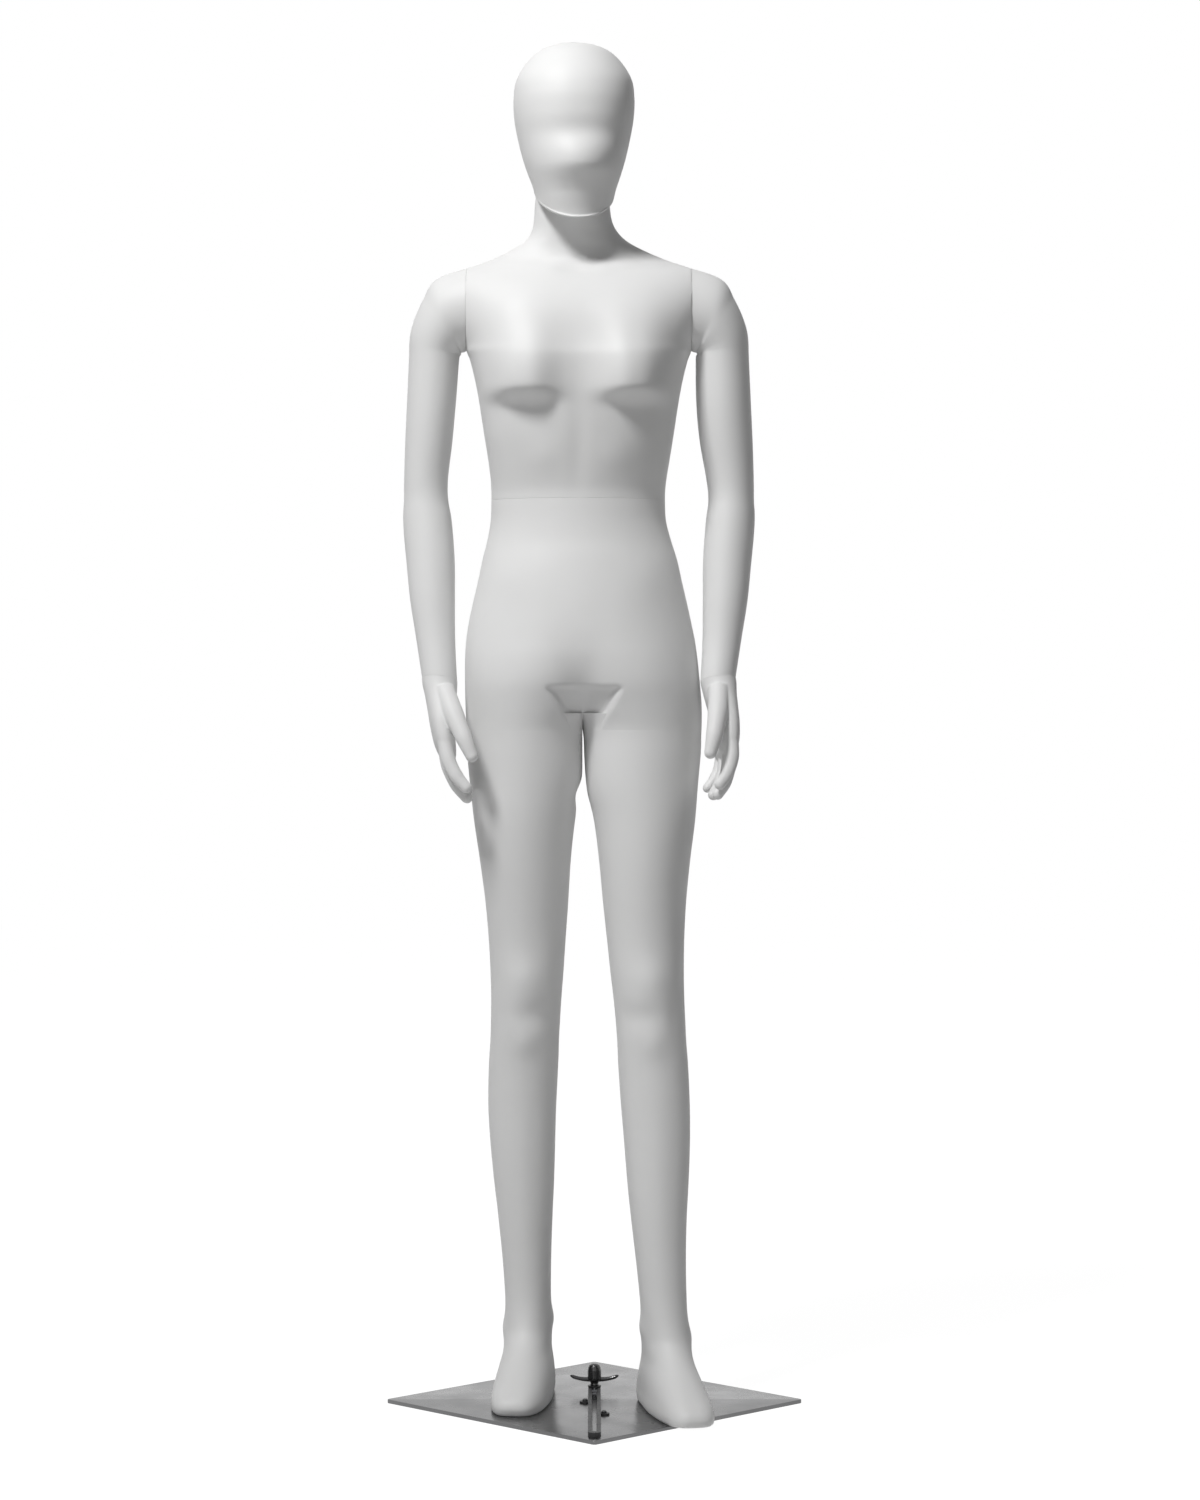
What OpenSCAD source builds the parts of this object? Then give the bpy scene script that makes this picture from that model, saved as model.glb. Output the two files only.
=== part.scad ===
// Full body mannequin on a square steel stand.
// Millimetres. The origin is the underside centre of the base plate, +Z is up,
// the figure faces -Y and its right side is on -X.

/* [Stand] */
// Side of the square base plate
plate_side = 380; // [340:5:420]
// Thickness of the base plate
plate_t = 5; // [3:0.5:8]
// Length of the slotted rail
rail_len = 310; // [240:5:320]
// Width across the wings of the knob
wing_span = 64; // [50:1:70]

/* [Shells] */
// Wall thickness of the moulded shells
wall = 4; // [3:0.25:5]
// Gap in each seam between pieces that move
seam = 0.4; // [0.3:0.05:0.8]
// Height of the waist seam above the floor
waist_z = 1164; // [1150:1:1180]
// Height of the joint between legs and pelvis
hip_z = 870; // [860:1:880]

/* [Fittings] */
// Diameter of the foot rod
foot_rod_d = 12; // [10:0.5:14]
// Diameter of the head pin
head_pin_d = 28; // [24:1:34]
// Diameter of the shoulder studs
stud_d = 24; // [20:1:30]
// Side of the square waist spigot
spigot_side = 40; // [34:1:46]
// Diameter of the wrist pins
wrist_pin_d = 12; // [8:1:14]

/* [Pose] */
// Turn of the head to the figure's left at rest, in degrees
head_yaw = 5; // [-20:1:20]
// Turn of the right hand about the forearm at rest, in degrees
right_hand_turn = 0; // [-10:1:10]
// Turn of the left hand about the forearm at rest, in degrees
left_hand_turn = 12; // [0:1:20]
// Inward lean of the right hand below the wrist, as a slope
right_hand_lean = 0.09; // [-0.15:0.01:0.15]
// Inward lean of the left hand below the wrist, as a slope
left_hand_lean = -0.12; // [-0.15:0.01:0.15]
// Turn-out of the right foot, in degrees
right_toe_out = 6; // [0:1:15]
// Turn-out of the left foot, in degrees
left_toe_out = 12; // [0:1:20]

/* [Hidden] */
$fn = 48;
fit = 0.05;            // radial play of a turning fit
clear = 0.35;          // play of a sliding fit, and between pieces that pass each other
shell_white = [0.93, 0.93, 0.92];
steel = [0.72, 0.73, 0.75];
black = [0.08, 0.08, 0.09];
zinc = [0.6, 0.61, 0.63];

mid_x = -20;           // the upper body stands a little to its right of the plate centre
arm_plane = 145;       // each shoulder joint plane lies this far from the body's middle
shoulder_y = 8;        // shoulder axis
shoulder_z = 1410;
neck_x = -28;          // neck axis, about which the head turns
neck_y = 12;
neck_top = 1572;
sole_z = plate_t;
groin_x = -15.5;       // the thighs meet in this plane

// ---- curves and rings ----

// Slope of a table at row i, from its neighbours.
function slope(T, i) = let (a = max(i - 1, 0), b = min(i + 1, len(T) - 1))
    (T[b] - T[a]) / (T[b][0] - T[a][0]);

// Row below s in a table whose first column rises.
function row_of(T, s, i = 0) = (i >= len(T) - 2 || s < T[i + 1][0]) ? i : row_of(T, s, i + 1);

// Smooth row of a table at s, a cubic between each two rows.
function at(T, s) = let (i = row_of(T, s), h = T[i + 1][0] - T[i][0], t = (s - T[i][0]) / h)
    T[i] * (2 * t ^ 3 - 3 * t ^ 2 + 1) + slope(T, i) * h * (t ^ 3 - 2 * t ^ 2 + t)
    + T[i + 1] * (3 * t ^ 2 - 2 * t ^ 3) + slope(T, i + 1) * h * (t ^ 3 - t ^ 2);

// Power that keeps the sign.
function signed(v, p) = sign(v) * abs(v) ^ p;

// Bell curve: 1 at 0, almost 0 at 2.5.
function bell(v) = exp(-v * v);

// Point at angle a of an oval: half width w, depth f in front and b behind, squareness n.
function oval(a, w, f, b, n) = [w * signed(cos(a), 2 / n),
    (sin(a) < 0 ? f : b) * signed(sin(a), 2 / n)];

// Solid skin over a stack of rings, each end closed by a fan.
module skin(rings) {
    n = len(rings[0]);
    m = len(rings);
    first = rings[0];
    last = rings[m - 1];
    points = concat([for (r = rings) each r],
        [[for (i = [0:n - 1]) 1 / n] * first, [for (i = [0:n - 1]) 1 / n] * last]);
    sides = [for (j = [0:m - 2], i = [0:n - 1]) let (k = (i + 1) % n)
        each [[j * n + i, (j + 1) * n + i, (j + 1) * n + k], [j * n + i, (j + 1) * n + k, j * n + k]]];
    ends = [for (i = [0:n - 1]) let (k = (i + 1) % n)
        each [[m * n, i, k], [m * n + 1, (m - 1) * n + k, (m - 1) * n + i]]];
    polyhedron(points, concat(sides, ends));
}

// Tube skin over a stack of rings whose last ring joins the first.
module tube_skin(rings) {
    n = len(rings[0]);
    m = len(rings);
    polyhedron([for (r = rings) each r],
        [for (j = [0:m - 1], i = [0:n - 1]) let (k = (i + 1) % n, q = (j + 1) % m)
            each [[j * n + i, q * n + i, q * n + k], [j * n + i, q * n + k, j * n + k]]]);
}

// Flat oval plate from z0 to z1 that follows the points of a ring.
module ring_plate(ring, z0, z1) {
    translate([0, 0, z0]) linear_extrude(z1 - z0) polygon([for (p = ring) [p[0], p[1]]]);
}

// ---- torso ----

TORSO_SIDES = 36;
// height, centre x, centre y, half width, depth in front, depth behind, squareness
TORSO = [
    [1164, -21, 8, 112, 79, 72, 2.0],
    [1190, -20.5, 6, 113.5, 81, 76, 2.1],
    [1216, -20, 4, 117, 84, 82, 2.2],
    [1241, -20, 2, 121, 87, 87, 2.3],
    [1267, -20, 1, 125, 90, 91, 2.35],
    [1293, -20, 0, 129, 92, 94, 2.4],
    [1319, -20, 0, 134, 94, 97, 2.4],
    [1345, -20, 0, 139, 95, 98, 2.4],
    [1357, -20, 1, 142, 94, 98, 2.4],
    [1400, -20, 4, 145, 88, 96, 2.4],
    [1430, -20, 8, 145, 77, 89, 2.4],
    [1450, -20, 12, 145, 64, 76, 2.3],
    [1463, -20, 15, 141, 53, 62, 2.2],
    [1473, -20.5, 17, 117, 47, 55, 2.1],
    [1486, -22, 18, 88, 46, 52, 2],
    [1499, -24, 17, 66, 47, 50, 2],
    [1512, -26, 15, 55, 48, 49, 2],
    [1525, -27.5, 13, 50.5, 49, 49, 2],
    [1545, -28, 12, 49, 49, 49, 2],
    [1572, -28, 12, 49, 49, 49, 2]];
TORSO_RINGS = [1180, 1200, 1225, 1250, 1268, 1282, 1293, 1304, 1318, 1332, 1345, 1357, 1372,
    1390, 1410, 1428, 1441, 1451, 1458, 1463, 1468, 1474, 1481, 1488, 1496, 1506, 1518, 1535, neck_top];
TORSO_INNER = [1560, 1535, 1500, 1480, 1460, 1420, 1370, 1320, 1250, 1176];
armhole_h = 53;        // half height and half depth of the oval shoulder joint
armhole_d = 52;

// Half depth of the oval armhole at a height.
function armhole(z) = armhole_d * sqrt(max(0, 1 - ((z - shoulder_z) / armhole_h) ^ 2));

// Half width of the oval that meets the armhole plane at depth e.
function reach(d, e, n) = arm_plane / (1 - (max(e, 0) / d) ^ n) ^ (1 / n);

// Half width at a height: the table below and above the armhole, the armhole's own between.
function torso_half(z, t, s) = abs(z - shoulder_z) >= armhole_h ? t[3]
    : s < 0 ? reach(t[4], t[2] - shoulder_y + armhole(z), t[6])
    : reach(t[5], shoulder_y + armhole(z) - t[2], t[6]);

// How far the bust stands out at a place on the front, x measured from the middle.
function bust(x, z) = let (dz = z - 1322, up = dz > 0 ? 58 : 34)
    27 * bell((abs(x) - 72) / 41) * bell(dz / up);

// Ring of the torso at height z, drawn in by inset. placed moves it to another height.
function torso_ring(z, inset = 0, placed = undef) = let (t = at(TORSO, z), e = arm_plane - inset)
    [for (i = [0:TORSO_SIDES - 1])
        let (a = 360 * (i + 0.5) / TORSO_SIDES,
            p = oval(a, torso_half(z, t, sin(a)) - inset, t[4] - inset, t[5] - inset, t[6]),
            x = min(max(p[0], -e), e),
            front = sin(a) < 0 ? bust(x, z) * min(1, -2.5 * sin(a)) : 0)
        [t[1] + x, t[2] + p[1] - front, is_undef(placed) ? z : placed]];

// Torso shell with its neck, open at the waist and at the top of the neck.
module torso() {
    lip = waist_z + seam / 2;
    color(shell_white) difference() {
        tube_skin(concat(
            [torso_ring(waist_z, 0, lip)],
            [for (z = TORSO_RINGS) torso_ring(z)],
            [torso_ring(neck_top, wall)],
            [for (z = TORSO_INNER) torso_ring(z, wall)],
            [torso_ring(1176, wall, lip)]));
        for (side = [-1, 1]) on_side(side) on_shoulder_axis(arm_plane - wall - 2)
            shoulder_screw_places() cylinder(d = shoulder_screw_d + 0.4, h = wall + 4);
    }
}

// ---- pelvis ----

PELVIS_SIDES = 36;
// height, centre x, centre y, half distance of the two lobes, half width of each, front, behind
PELVIS = [
    [870, -13.5, -4, 74.5, 77, 84, 103],
    [900, -14, -4, 66, 86, 90, 114],
    [930, -15.5, -4, 56, 95, 96, 119],
    [960, -17, -3, 44, 105.5, 97, 118],
    [985, -18, -2, 33, 114, 95, 113],
    [1010, -18.7, -1, 24, 118.5, 93, 106],
    [1035, -18.7, 0, 16, 121, 91, 98],
    [1061, -18.7, 2, 9, 122, 89, 90],
    [1087, -18.9, 4, 4, 121.5, 86, 83],
    [1112, -19.7, 6, 1, 117.5, 82, 77],
    [1138, -20.8, 7.5, 0, 113, 80, 73],
    [1164, -21, 8, 0, 112, 79, 72]];
PELVIS_RINGS = [885, 902, 920, 938, 956, 976, 998, 1022, 1048, 1075, 1105, 1135];
PELVIS_INNER = [1120, 1080, 1030, 980, 930, 895];

// Distance along direction [c, s] to an oval whose centre is d to the side.
function ray(c, s, d, w, h) = let (A = (c / w) ^ 2 + (s / h) ^ 2, B = d * c / w ^ 2, C = (d / w) ^ 2 - 1)
    (B + sqrt(max(0, B * B - A * C))) / A;

// Larger of two values, rounded over a band k.
function soft_max(a, b, k) = max(a, b) + (k > 0 ? max(k - abs(a - b), 0) ^ 2 / (4 * k) : 0);

// Ring round the two lobes of the hips at height z.
function pelvis_ring(z, inset = 0, placed = undef) = let (t = at(PELVIS, z))
    [for (i = [0:PELVIS_SIDES - 1])
        let (a = 360 * (i + 0.5) / PELVIS_SIDES, c = cos(a), s = sin(a),
            w = t[4] - inset, h = (s < 0 ? t[5] : t[6]) - inset, d = max(0, t[3]),
            r = soft_max(ray(c, s, d, w, h), ray(c, s, -d, w, h), d / 2))
        [t[1] + r * c, t[2] + r * s, is_undef(placed) ? z : placed]];

module pelvis() {
    lip = waist_z - seam / 2;
    color(shell_white) skin(concat(
        [pelvis_ring(hip_z)],
        [for (z = PELVIS_RINGS) pelvis_ring(z)],
        [pelvis_ring(waist_z, 0, lip)],
        [pelvis_ring(1150, wall, lip), pelvis_ring(1150, wall)],
        [for (z = PELVIS_INNER) pelvis_ring(z, wall)],
        [pelvis_ring(870, wall, hip_z + wall)]));
}

// ---- legs and feet ----

LEG_SIDES = 24;
// height, half width, depth in front, depth behind, squareness
LEG = [
    [5, 35.5, 158, 54, 2.9],
    [8, 37, 162, 57, 2.8],
    [16, 38, 162, 59, 2.7],
    [26, 37.5, 153, 60, 2.6],
    [38, 36, 134, 59, 2.4],
    [50, 34, 110, 57, 2.2],
    [65, 31, 80, 54, 2.1],
    [80, 30.5, 58, 50, 2],
    [95, 29.8, 46, 47, 2],
    [133, 29.8, 38, 43, 2],
    [184, 31.8, 37, 44, 2],
    [236, 35.2, 39, 47, 2],
    [287, 39.2, 41, 53, 2],
    [339, 42.2, 43, 59, 2],
    [391, 44.2, 45, 61, 2],
    [442, 44.8, 47, 56, 2],
    [468, 44.3, 50, 52, 2],
    [494, 44.7, 53.5, 49, 2],
    [519, 45.3, 55, 49, 2],
    [545, 46.5, 54, 52, 2],
    [597, 49.5, 57, 58, 2],
    [648, 53.5, 63, 64, 2],
    [700, 58.5, 70, 70, 2],
    [751, 65, 76, 78, 2],
    [800, 72, 80, 88, 2],
    [835, 75, 82, 96, 2],
    [870, 77, 84, 103, 2]];
LEG_RINGS = [10, 17, 25, 34, 43, 53, 65, 80, 97, 125, 165, 215, 270, 330, 385, 440, 480, 512, 545,
    590, 650, 710, 760, 800, 835];
LEG_INNER = [840, 760, 640, 510, 400, 280, 160, 100, 55, 24];
// height, centre x, centre y
RIGHT_LINE = [[5, -86, 41], [95, -86, 41], [133, -86.3, 41], [236, -89.6, 35], [339, -93, 27],
    [391, -93.3, 23], [494, -89, 12], [560, -87, 7], [640, -87, 3], [700, -89, 0], [751, -90, -2],
    [800, -88.5, -3], [870, -88, -4]];
LEFT_LINE = [[5, 92, -36], [95, 91, -36], [133, 88.5, -35], [236, 82.8, -30], [339, 80.3, -25],
    [391, 78, -23], [494, 72, -20], [560, 67.5, -18], [640, 64.5, -14], [700, 64.5, -11],
    [751, 64.5, -8], [800, 61.5, -6], [870, 61, -4]];

// Share of the toe-out at a height: all of it in the foot, none above the ankle.
function foot_share(z) = let (t = min(max((150 - z) / 90, 0), 1)) t * t * (3 - 2 * t);

// Width of the foot along its length: narrow at the heel, full at the ball.
function foot_width(y, z) = let (t = min(max((y + 60) / 90, 0), 1)) 1 - 0.2 * t * foot_share(z + 60);

// Ring of a leg at height z. side is -1 for the right leg, which the groin plane cuts flat.
function leg_ring(line, side, toe_out, z, inset = 0, placed = undef) =
    let (t = at(LEG, z), c = at(line, z), yaw = side * toe_out * foot_share(z),
        limit = side * (c[1] - groin_x) - 0.3 - inset)
    [for (i = [0:LEG_SIDES - 1])
        let (a = 360 * (i + 0.5) / LEG_SIDES,
            p = oval(a, t[1] - inset, t[2] - inset, t[3] - inset, t[4]),
            x = p[0] * foot_width(p[1], z),
            cut = side < 0 ? min(x, limit) : max(x, -limit))
        [c[1] + cut * cos(yaw) - p[1] * sin(yaw), c[2] + cut * sin(yaw) + p[1] * cos(yaw),
            is_undef(placed) ? z : placed]];

// Round ring about the ankle axis.
function ankle_ring(line, r, z) = let (c = at(line, 5))
    [for (i = [0:LEG_SIDES - 1]) let (a = 360 * (i + 0.5) / LEG_SIDES)
        [c[1] + r * cos(a), c[2] + r * sin(a), z]];

leg_plug_z = 855;      // the leg's inner wall is straight from here up
// Leg shell, open at the top. A hole in the sole takes the socket of the foot rod.
module leg(line, side, toe_out, sole_hole) {
    outer = [for (z = LEG_RINGS) leg_ring(line, side, toe_out, z)];
    inner = concat([leg_ring(line, side, toe_out, leg_plug_z, wall, hip_z)],
        [for (z = concat([leg_plug_z], LEG_INNER)) leg_ring(line, side, toe_out, z, wall)]);
    sole = leg_ring(line, side, toe_out, 5, 0, sole_z);
    top = leg_ring(line, side, toe_out, hip_z);
    color(shell_white)
        if (sole_hole > 0)
            tube_skin(concat([sole], outer, [top], inner,
                [ankle_ring(line, sole_hole, sole_z + wall), ankle_ring(line, sole_hole, sole_z)]));
        else
            skin(concat([sole], outer, [top], inner));
}
socket_flange_r = 15;
module right_leg() { leg(RIGHT_LINE, -1, right_toe_out, socket_flange_r + 0.4); }
module left_leg() { leg(LEFT_LINE, 1, left_toe_out, 0); }

// Plug in the top of a leg that the pelvis is bonded to.
module leg_plug(line, side) {
    color(zinc) ring_plate(leg_ring(line, side, 0, leg_plug_z, wall + 0.6), hip_z - 12, hip_z);
}
module right_leg_plug() { leg_plug(RIGHT_LINE, -1); }
module left_leg_plug() { leg_plug(LEFT_LINE, 1); }

// ---- waist ----

plate_h = 12;          // thickness of the plates that close the waist, arms and head
module waist_lower_plate() {
    z1 = waist_z - seam / 2;
    color(zinc) difference() {
        ring_plate(pelvis_ring(1150, wall + 0.3), z1 - plate_h, z1);
        translate([mid_x, 8, z1 - plate_h / 2])
            cube([spigot_side + 0.2, spigot_side + 0.2, plate_h + 2], center = true);
        waist_screw_places() translate([0, 0, z1 - plate_h - 1]) cylinder(d = waist_screw_d + 0.1, h = 9);
    }
}

spigot_flange_t = 4;
waist_screw_pitch = 56;
waist_screw_d = 5;
module waist_screw_places() {
    for (x = [-0.5, 0.5], y = [-0.5, 0.5])
        translate([mid_x + x * waist_screw_pitch, 8 + y * waist_screw_pitch, 0]) children();
}

// Square spigot that locates the torso, with a flange under the lower plate.
module waist_spigot() {
    z0 = waist_z - seam / 2 - plate_h;
    top = 46;
    side = spigot_side;
    color(steel) difference() {
        union() {
            translate([mid_x, 8, z0 - spigot_flange_t / 2]) cube([74, 74, spigot_flange_t], center = true);
            translate([mid_x, 8, z0]) linear_extrude(plate_h + top - 4) square(side, center = true);
            translate([mid_x, 8, z0 + plate_h + top - 4]) hull() {
                linear_extrude(0.1) square(side, center = true);
                translate([0, 0, 4]) linear_extrude(0.1) square(side - 8, center = true);
            }
        }
        translate([mid_x, 8, z0 - 10]) cylinder(d = side - 10, h = 100);
        waist_screw_places() translate([0, 0, z0 - 10]) cylinder(d = waist_screw_d + 0.4, h = 20);
    }
}

// Pan-head screw, head down.
module pan_screw(length, head_d, d) {
    rotate_extrude() polygon([[0, -3], [head_d * 0.3, -3], [head_d / 2, -1.6], [head_d / 2, 0],
        [d / 2, 0], [d / 2, length - 0.5], [d / 2 - 0.5, length], [0, length]]);
}

module waist_screws() {
    color(steel) waist_screw_places()
        translate([0, 0, waist_z - seam / 2 - plate_h - spigot_flange_t]) pan_screw(11, 10, waist_screw_d);
}

// Plate that closes the torso, with a square guide that slides on the spigot.
module waist_upper_plate() {
    z0 = waist_z + seam / 2;
    hole = spigot_side + 2 * clear;
    color(zinc) difference() {
        union() {
            ring_plate(torso_ring(1176, wall + 0.3), z0, z0 + plate_h - 1);
            translate([mid_x, 8, z0]) linear_extrude(36) square(hole + 8, center = true);
        }
        translate([mid_x, 8, z0 - 1]) linear_extrude(50) square(hole, center = true);
    }
}

// ---- neck and head ----

// Plug in the neck with the pin that the head turns on.
module neck_plug() {
    color(zinc) translate([neck_x, neck_y, 0]) rotate_extrude() polygon([
        [0, neck_top - 12], [44.6, neck_top - 12], [44.6, neck_top], [head_pin_d / 2, neck_top],
        [head_pin_d / 2, neck_top + 36], [head_pin_d / 2 - 3, neck_top + 40], [0, neck_top + 40]]);
}

washer_t = 2;
module neck_washer() {
    color([0.2, 0.2, 0.2]) translate([neck_x, neck_y, neck_top]) difference() {
        cylinder(r = 34, h = washer_t);
        translate([0, 0, -1]) cylinder(d = head_pin_d + 0.4, h = washer_t + 2);
    }
}

HEAD_SIDES = 28;
// step, height, centre y, half width, depth in front, depth behind, tilt, squareness
HEAD = [
    [0, 1752.5, -6, 4, 4, 4, 0, 2],
    [1, 1745, -6, 36, 40, 43, 0, 2],
    [2, 1731, -6, 56.5, 64, 67, 0, 2.05],
    [3, 1705, -6, 73.5, 84, 85, 0, 2.15],
    [4, 1680, -6, 77.5, 93, 91, 0, 2.2],
    [5, 1654, -6, 76.5, 95, 90, 0, 2.2],
    [6, 1628, -6, 72, 96, 85, 2, 2.15],
    [7, 1603, -6, 66, 95, 79, 5, 2.1],
    [8, 1584, -6, 60.5, 91, 75, 9, 2],
    [9, 1570, -6, 56.5, 87, 73.5, 14, 2],
    [10, 1560, -6, 54, 83, 72.5, 19, 2]];
head_hole_r = 50.5;
head_hole_z = 1560;

// How far the face stands out from the oval, x from its middle.
function face(x, z) =
    11 * bell(x / 15) * bell((z - 1622) / (z > 1622 ? 26 : 13))        // nose
    + 5 * bell(x / 48) * bell((z - 1610) / 20)                         // cheeks and upper lip
    - 5 * bell((abs(x) - 32) / 21) * bell((z - 1648) / 11)             // eye hollows
    - 5 * bell(x / 45) * bell((z - 1566) / 14)                         // hollow under the lips
    + 4 * bell(x / 34) * bell((z - 1537) / 6);                         // chin rim

// Ring of the head at step u, tilted so that its front drops to the chin.
function head_ring(u, inset = 0) = let (t = at(HEAD, u), yaw = head_yaw)
    [for (i = [0:HEAD_SIDES - 1])
        let (a = 360 * (i + 0.5) / HEAD_SIDES,
            p = oval(a, max(1, t[3] - inset), max(1, t[4] - inset), max(1, t[5] - inset), t[7]),
            z = t[1] + p[1] * tan(t[6]),
            front = sin(a) < 0 ? face(p[0], z) * min(1, -2 * sin(a)) : 0,
            x = p[0], y = t[2] + p[1] - front - neck_y)
        [neck_x + x * cos(yaw) - y * sin(yaw), neck_y + x * sin(yaw) + y * cos(yaw), z]];

// Round ring about the neck axis.
function neck_ring(r, z) = [for (i = [0:HEAD_SIDES - 1])
    let (a = 360 * (i + 0.5) / HEAD_SIDES + head_yaw)
    [neck_x + r * cos(a), neck_y + r * sin(a), z]];

HEAD_STEPS = [10, 9.5, 9, 8.5, 8, 7.5, 7, 6.6, 6.2, 5.8, 5.4, 5, 4.6, 4.2, 3.7, 3.2, 2.6, 2, 1.4, 0.7, 0];
HEAD_INNER = [2, 3, 4, 5.2, 6.4, 7.4];
HEAD_OUTER = [for (i = [20:-1:0]) HEAD_STEPS[i]];
module head() {
    color(shell_white) skin(concat(
        [for (u = HEAD_OUTER) head_ring(u)],
        [neck_ring(head_hole_r, head_hole_z), neck_ring(head_hole_r, head_hole_z + 12)],
        [for (i = [5:-1:0]) head_ring(HEAD_INNER[i], wall)]));
}

// Disc inside the head that turns on the neck pin.
head_bearing_z = neck_top + washer_t + 0.5;
module head_bearing() {
    color(zinc) translate([neck_x, neck_y, head_bearing_z]) difference() {
        union() {
            cylinder(r = 49, h = 8);
            cylinder(d = head_pin_d + 16, h = 24);
        }
        translate([0, 0, -1]) cylinder(r = head_pin_d / 2 + fit, h = 30);
    }
}

// ---- arms ----
// The left arm is drawn with x measured outward from the body's middle; the right one mirrors it.

ARM_SIDES = 20;
// step, out from the middle, y, height, tilt, pitch, half width, depth in front, depth behind
ARM = [
    [0, 145.4, 8, 1410, 90, 0, 53, 52, 52],
    [1, 168.6, 8, 1401, 70, 0, 49.5, 50, 50],
    [2, 176.5, 8, 1387.5, 55, 0, 42.5, 48, 47],
    [3, 182, 8.5, 1374, 37, 0, 37, 45.5, 45],
    [4, 185, 9, 1361, 17, 0, 34, 43, 43.5],
    [5, 186, 9.5, 1347, 4, 1, 33.3, 41.5, 42],
    [6, 188.5, 11, 1293, -2, 2, 33.5, 39.5, 41],
    [7, 192, 13, 1241, -3, 1, 32.5, 38, 39],
    [8, 196.5, 14, 1190, -2, -3, 29.5, 35.5, 37],
    [9, 197, 13, 1164, 1, -6, 29, 34.5, 36.5],
    [10, 195, 10, 1138, 3, -10, 31, 35.5, 36],
    [11, 191, 1, 1087, 3.5, -13, 31, 35.5, 33.5],
    [12, 188.3, -11, 1035, 4, -14.5, 29, 32, 30],
    [13, 184.3, -24, 983, 5, -15.4, 24.5, 26.5, 25.5],
    [14, 179.5, -38, 932, 5.6, -15.4, 21, 24, 24]];
ARM_STEPS = [0.4, 1, 1.5, 2, 2.6, 3.3, 4.1, 5, 6, 7, 7.7, 8.3, 8.9, 9.5, 10.2, 11, 12, 12.7, 13.4];
ARM_INNER = [13, 12, 10, 8, 6, 4, 2.4, 1.4];
arm_lip = 6;           // width of the lip round the shoulder end plate
arm_lip_depth = 12;
end_plate_gap = 0.9;   // between the lip's flats and the round end plate
arm_plate_out = 148.5; // where the end plate begins
arm_plate_t = 8;

// How much fuller the upper arm is on its inner side: the left one more, the right one less.
arm_fullness = 2;
function fuller(side, s) = side * arm_fullness * bell((s - 6.6) / 1.9);

// Ring of the arm at step s. shift moves it along its own axis, away from the hand.
function arm_ring(side, s, inset = 0, shift = 0) = let (t = at(ARM, s), c = cos(t[4]), q = sin(t[4]),
        cp = cos(t[5]), sp = sin(t[5]), more = fuller(side, s))
    [for (i = [0:ARM_SIDES - 1])
        let (a = 360 * (i + 0.5) / ARM_SIDES,
            p = oval(a, t[6] + more - inset, t[7] - inset, t[8] - inset, 2))
        [t[1] - more + p[0] * c - shift * q,
            t[2] - p[0] * q * sp + p[1] * cp - shift * c * sp,
            t[3] + p[0] * q * cp + p[1] * sp + shift * c * cp]];

// Puts a piece drawn outward from the middle on the left (1) or right (-1) side.
module on_side(side) {
    translate([mid_x, 0, 0]) mirror([side < 0 ? 1 : 0, 0, 0]) children();
}

// Stands children on the wrist, +Z up the forearm.
module at_wrist(turn = 0) {
    w = ARM[14];
    translate([w[1], w[2], w[3]]) rotate([w[5], 0, 0]) rotate([0, -w[4], 0]) rotate([0, 0, turn]) children();
}

// Lays children on the shoulder axis, +Z outward.
module on_shoulder_axis(out) {
    translate([out, shoulder_y, shoulder_z]) rotate([0, 90, 0]) children();
}

module arm(side) {
    color(shell_white) on_side(side) tube_skin(concat(
        [arm_ring(side, 0)],
        [for (s = ARM_STEPS) arm_ring(side, s)],
        [arm_ring(side, 14), arm_ring(side, 14, wall), arm_ring(side, 14, wall, arm_lip_depth)],
        [for (s = ARM_INNER) arm_ring(side, s, wall)],
        [arm_ring(side, 0, arm_lip, -arm_lip_depth), arm_ring(side, 0, arm_lip)]));
}
module right_arm() { arm(-1); }
module left_arm() { arm(1); }

// End plate of the arm with the bore that turns on the shoulder stud.
module arm_plate(side) {
    inset = arm_lip + end_plate_gap;
    color(zinc) on_side(side) difference() {
        on_shoulder_axis(arm_plate_out) linear_extrude(arm_plate_t)
            scale([armhole_h - inset, armhole_d - inset]) circle(1, $fn = 96);
        on_shoulder_axis(arm_plate_out - 1) cylinder(r = stud_d / 2 + fit, h = arm_plate_t + 2);
    }
}
module right_arm_plate() { arm_plate(-1); }
module left_arm_plate() { arm_plate(1); }

shoulder_disc_r = 38;
shoulder_disc_t = 3;
shoulder_screw_r = 28;
shoulder_screw_d = 4.2;
// Places of the three screws round the shoulder axis.
module shoulder_screw_places() {
    for (a = [90, 210, 330]) rotate([0, 0, a]) translate([shoulder_screw_r, 0, 0]) children();
}

// Disc and stud on the torso that carry the arm.
module shoulder_plate(side) {
    color(steel) on_side(side) on_shoulder_axis(arm_plane) difference() {
        union() {
            cylinder(r = shoulder_disc_r, h = shoulder_disc_t);
            cylinder(d = stud_d, h = arm_plate_out + arm_plate_t + 0.6 - arm_plane);
        }
        translate([0, 0, -1]) cylinder(d = 8, h = 30);
        shoulder_screw_places() translate([0, 0, -1]) cylinder(d = shoulder_screw_d + 0.4, h = 5);
    }
}
module right_shoulder_plate() { shoulder_plate(-1); }
module left_shoulder_plate() { shoulder_plate(1); }

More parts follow.
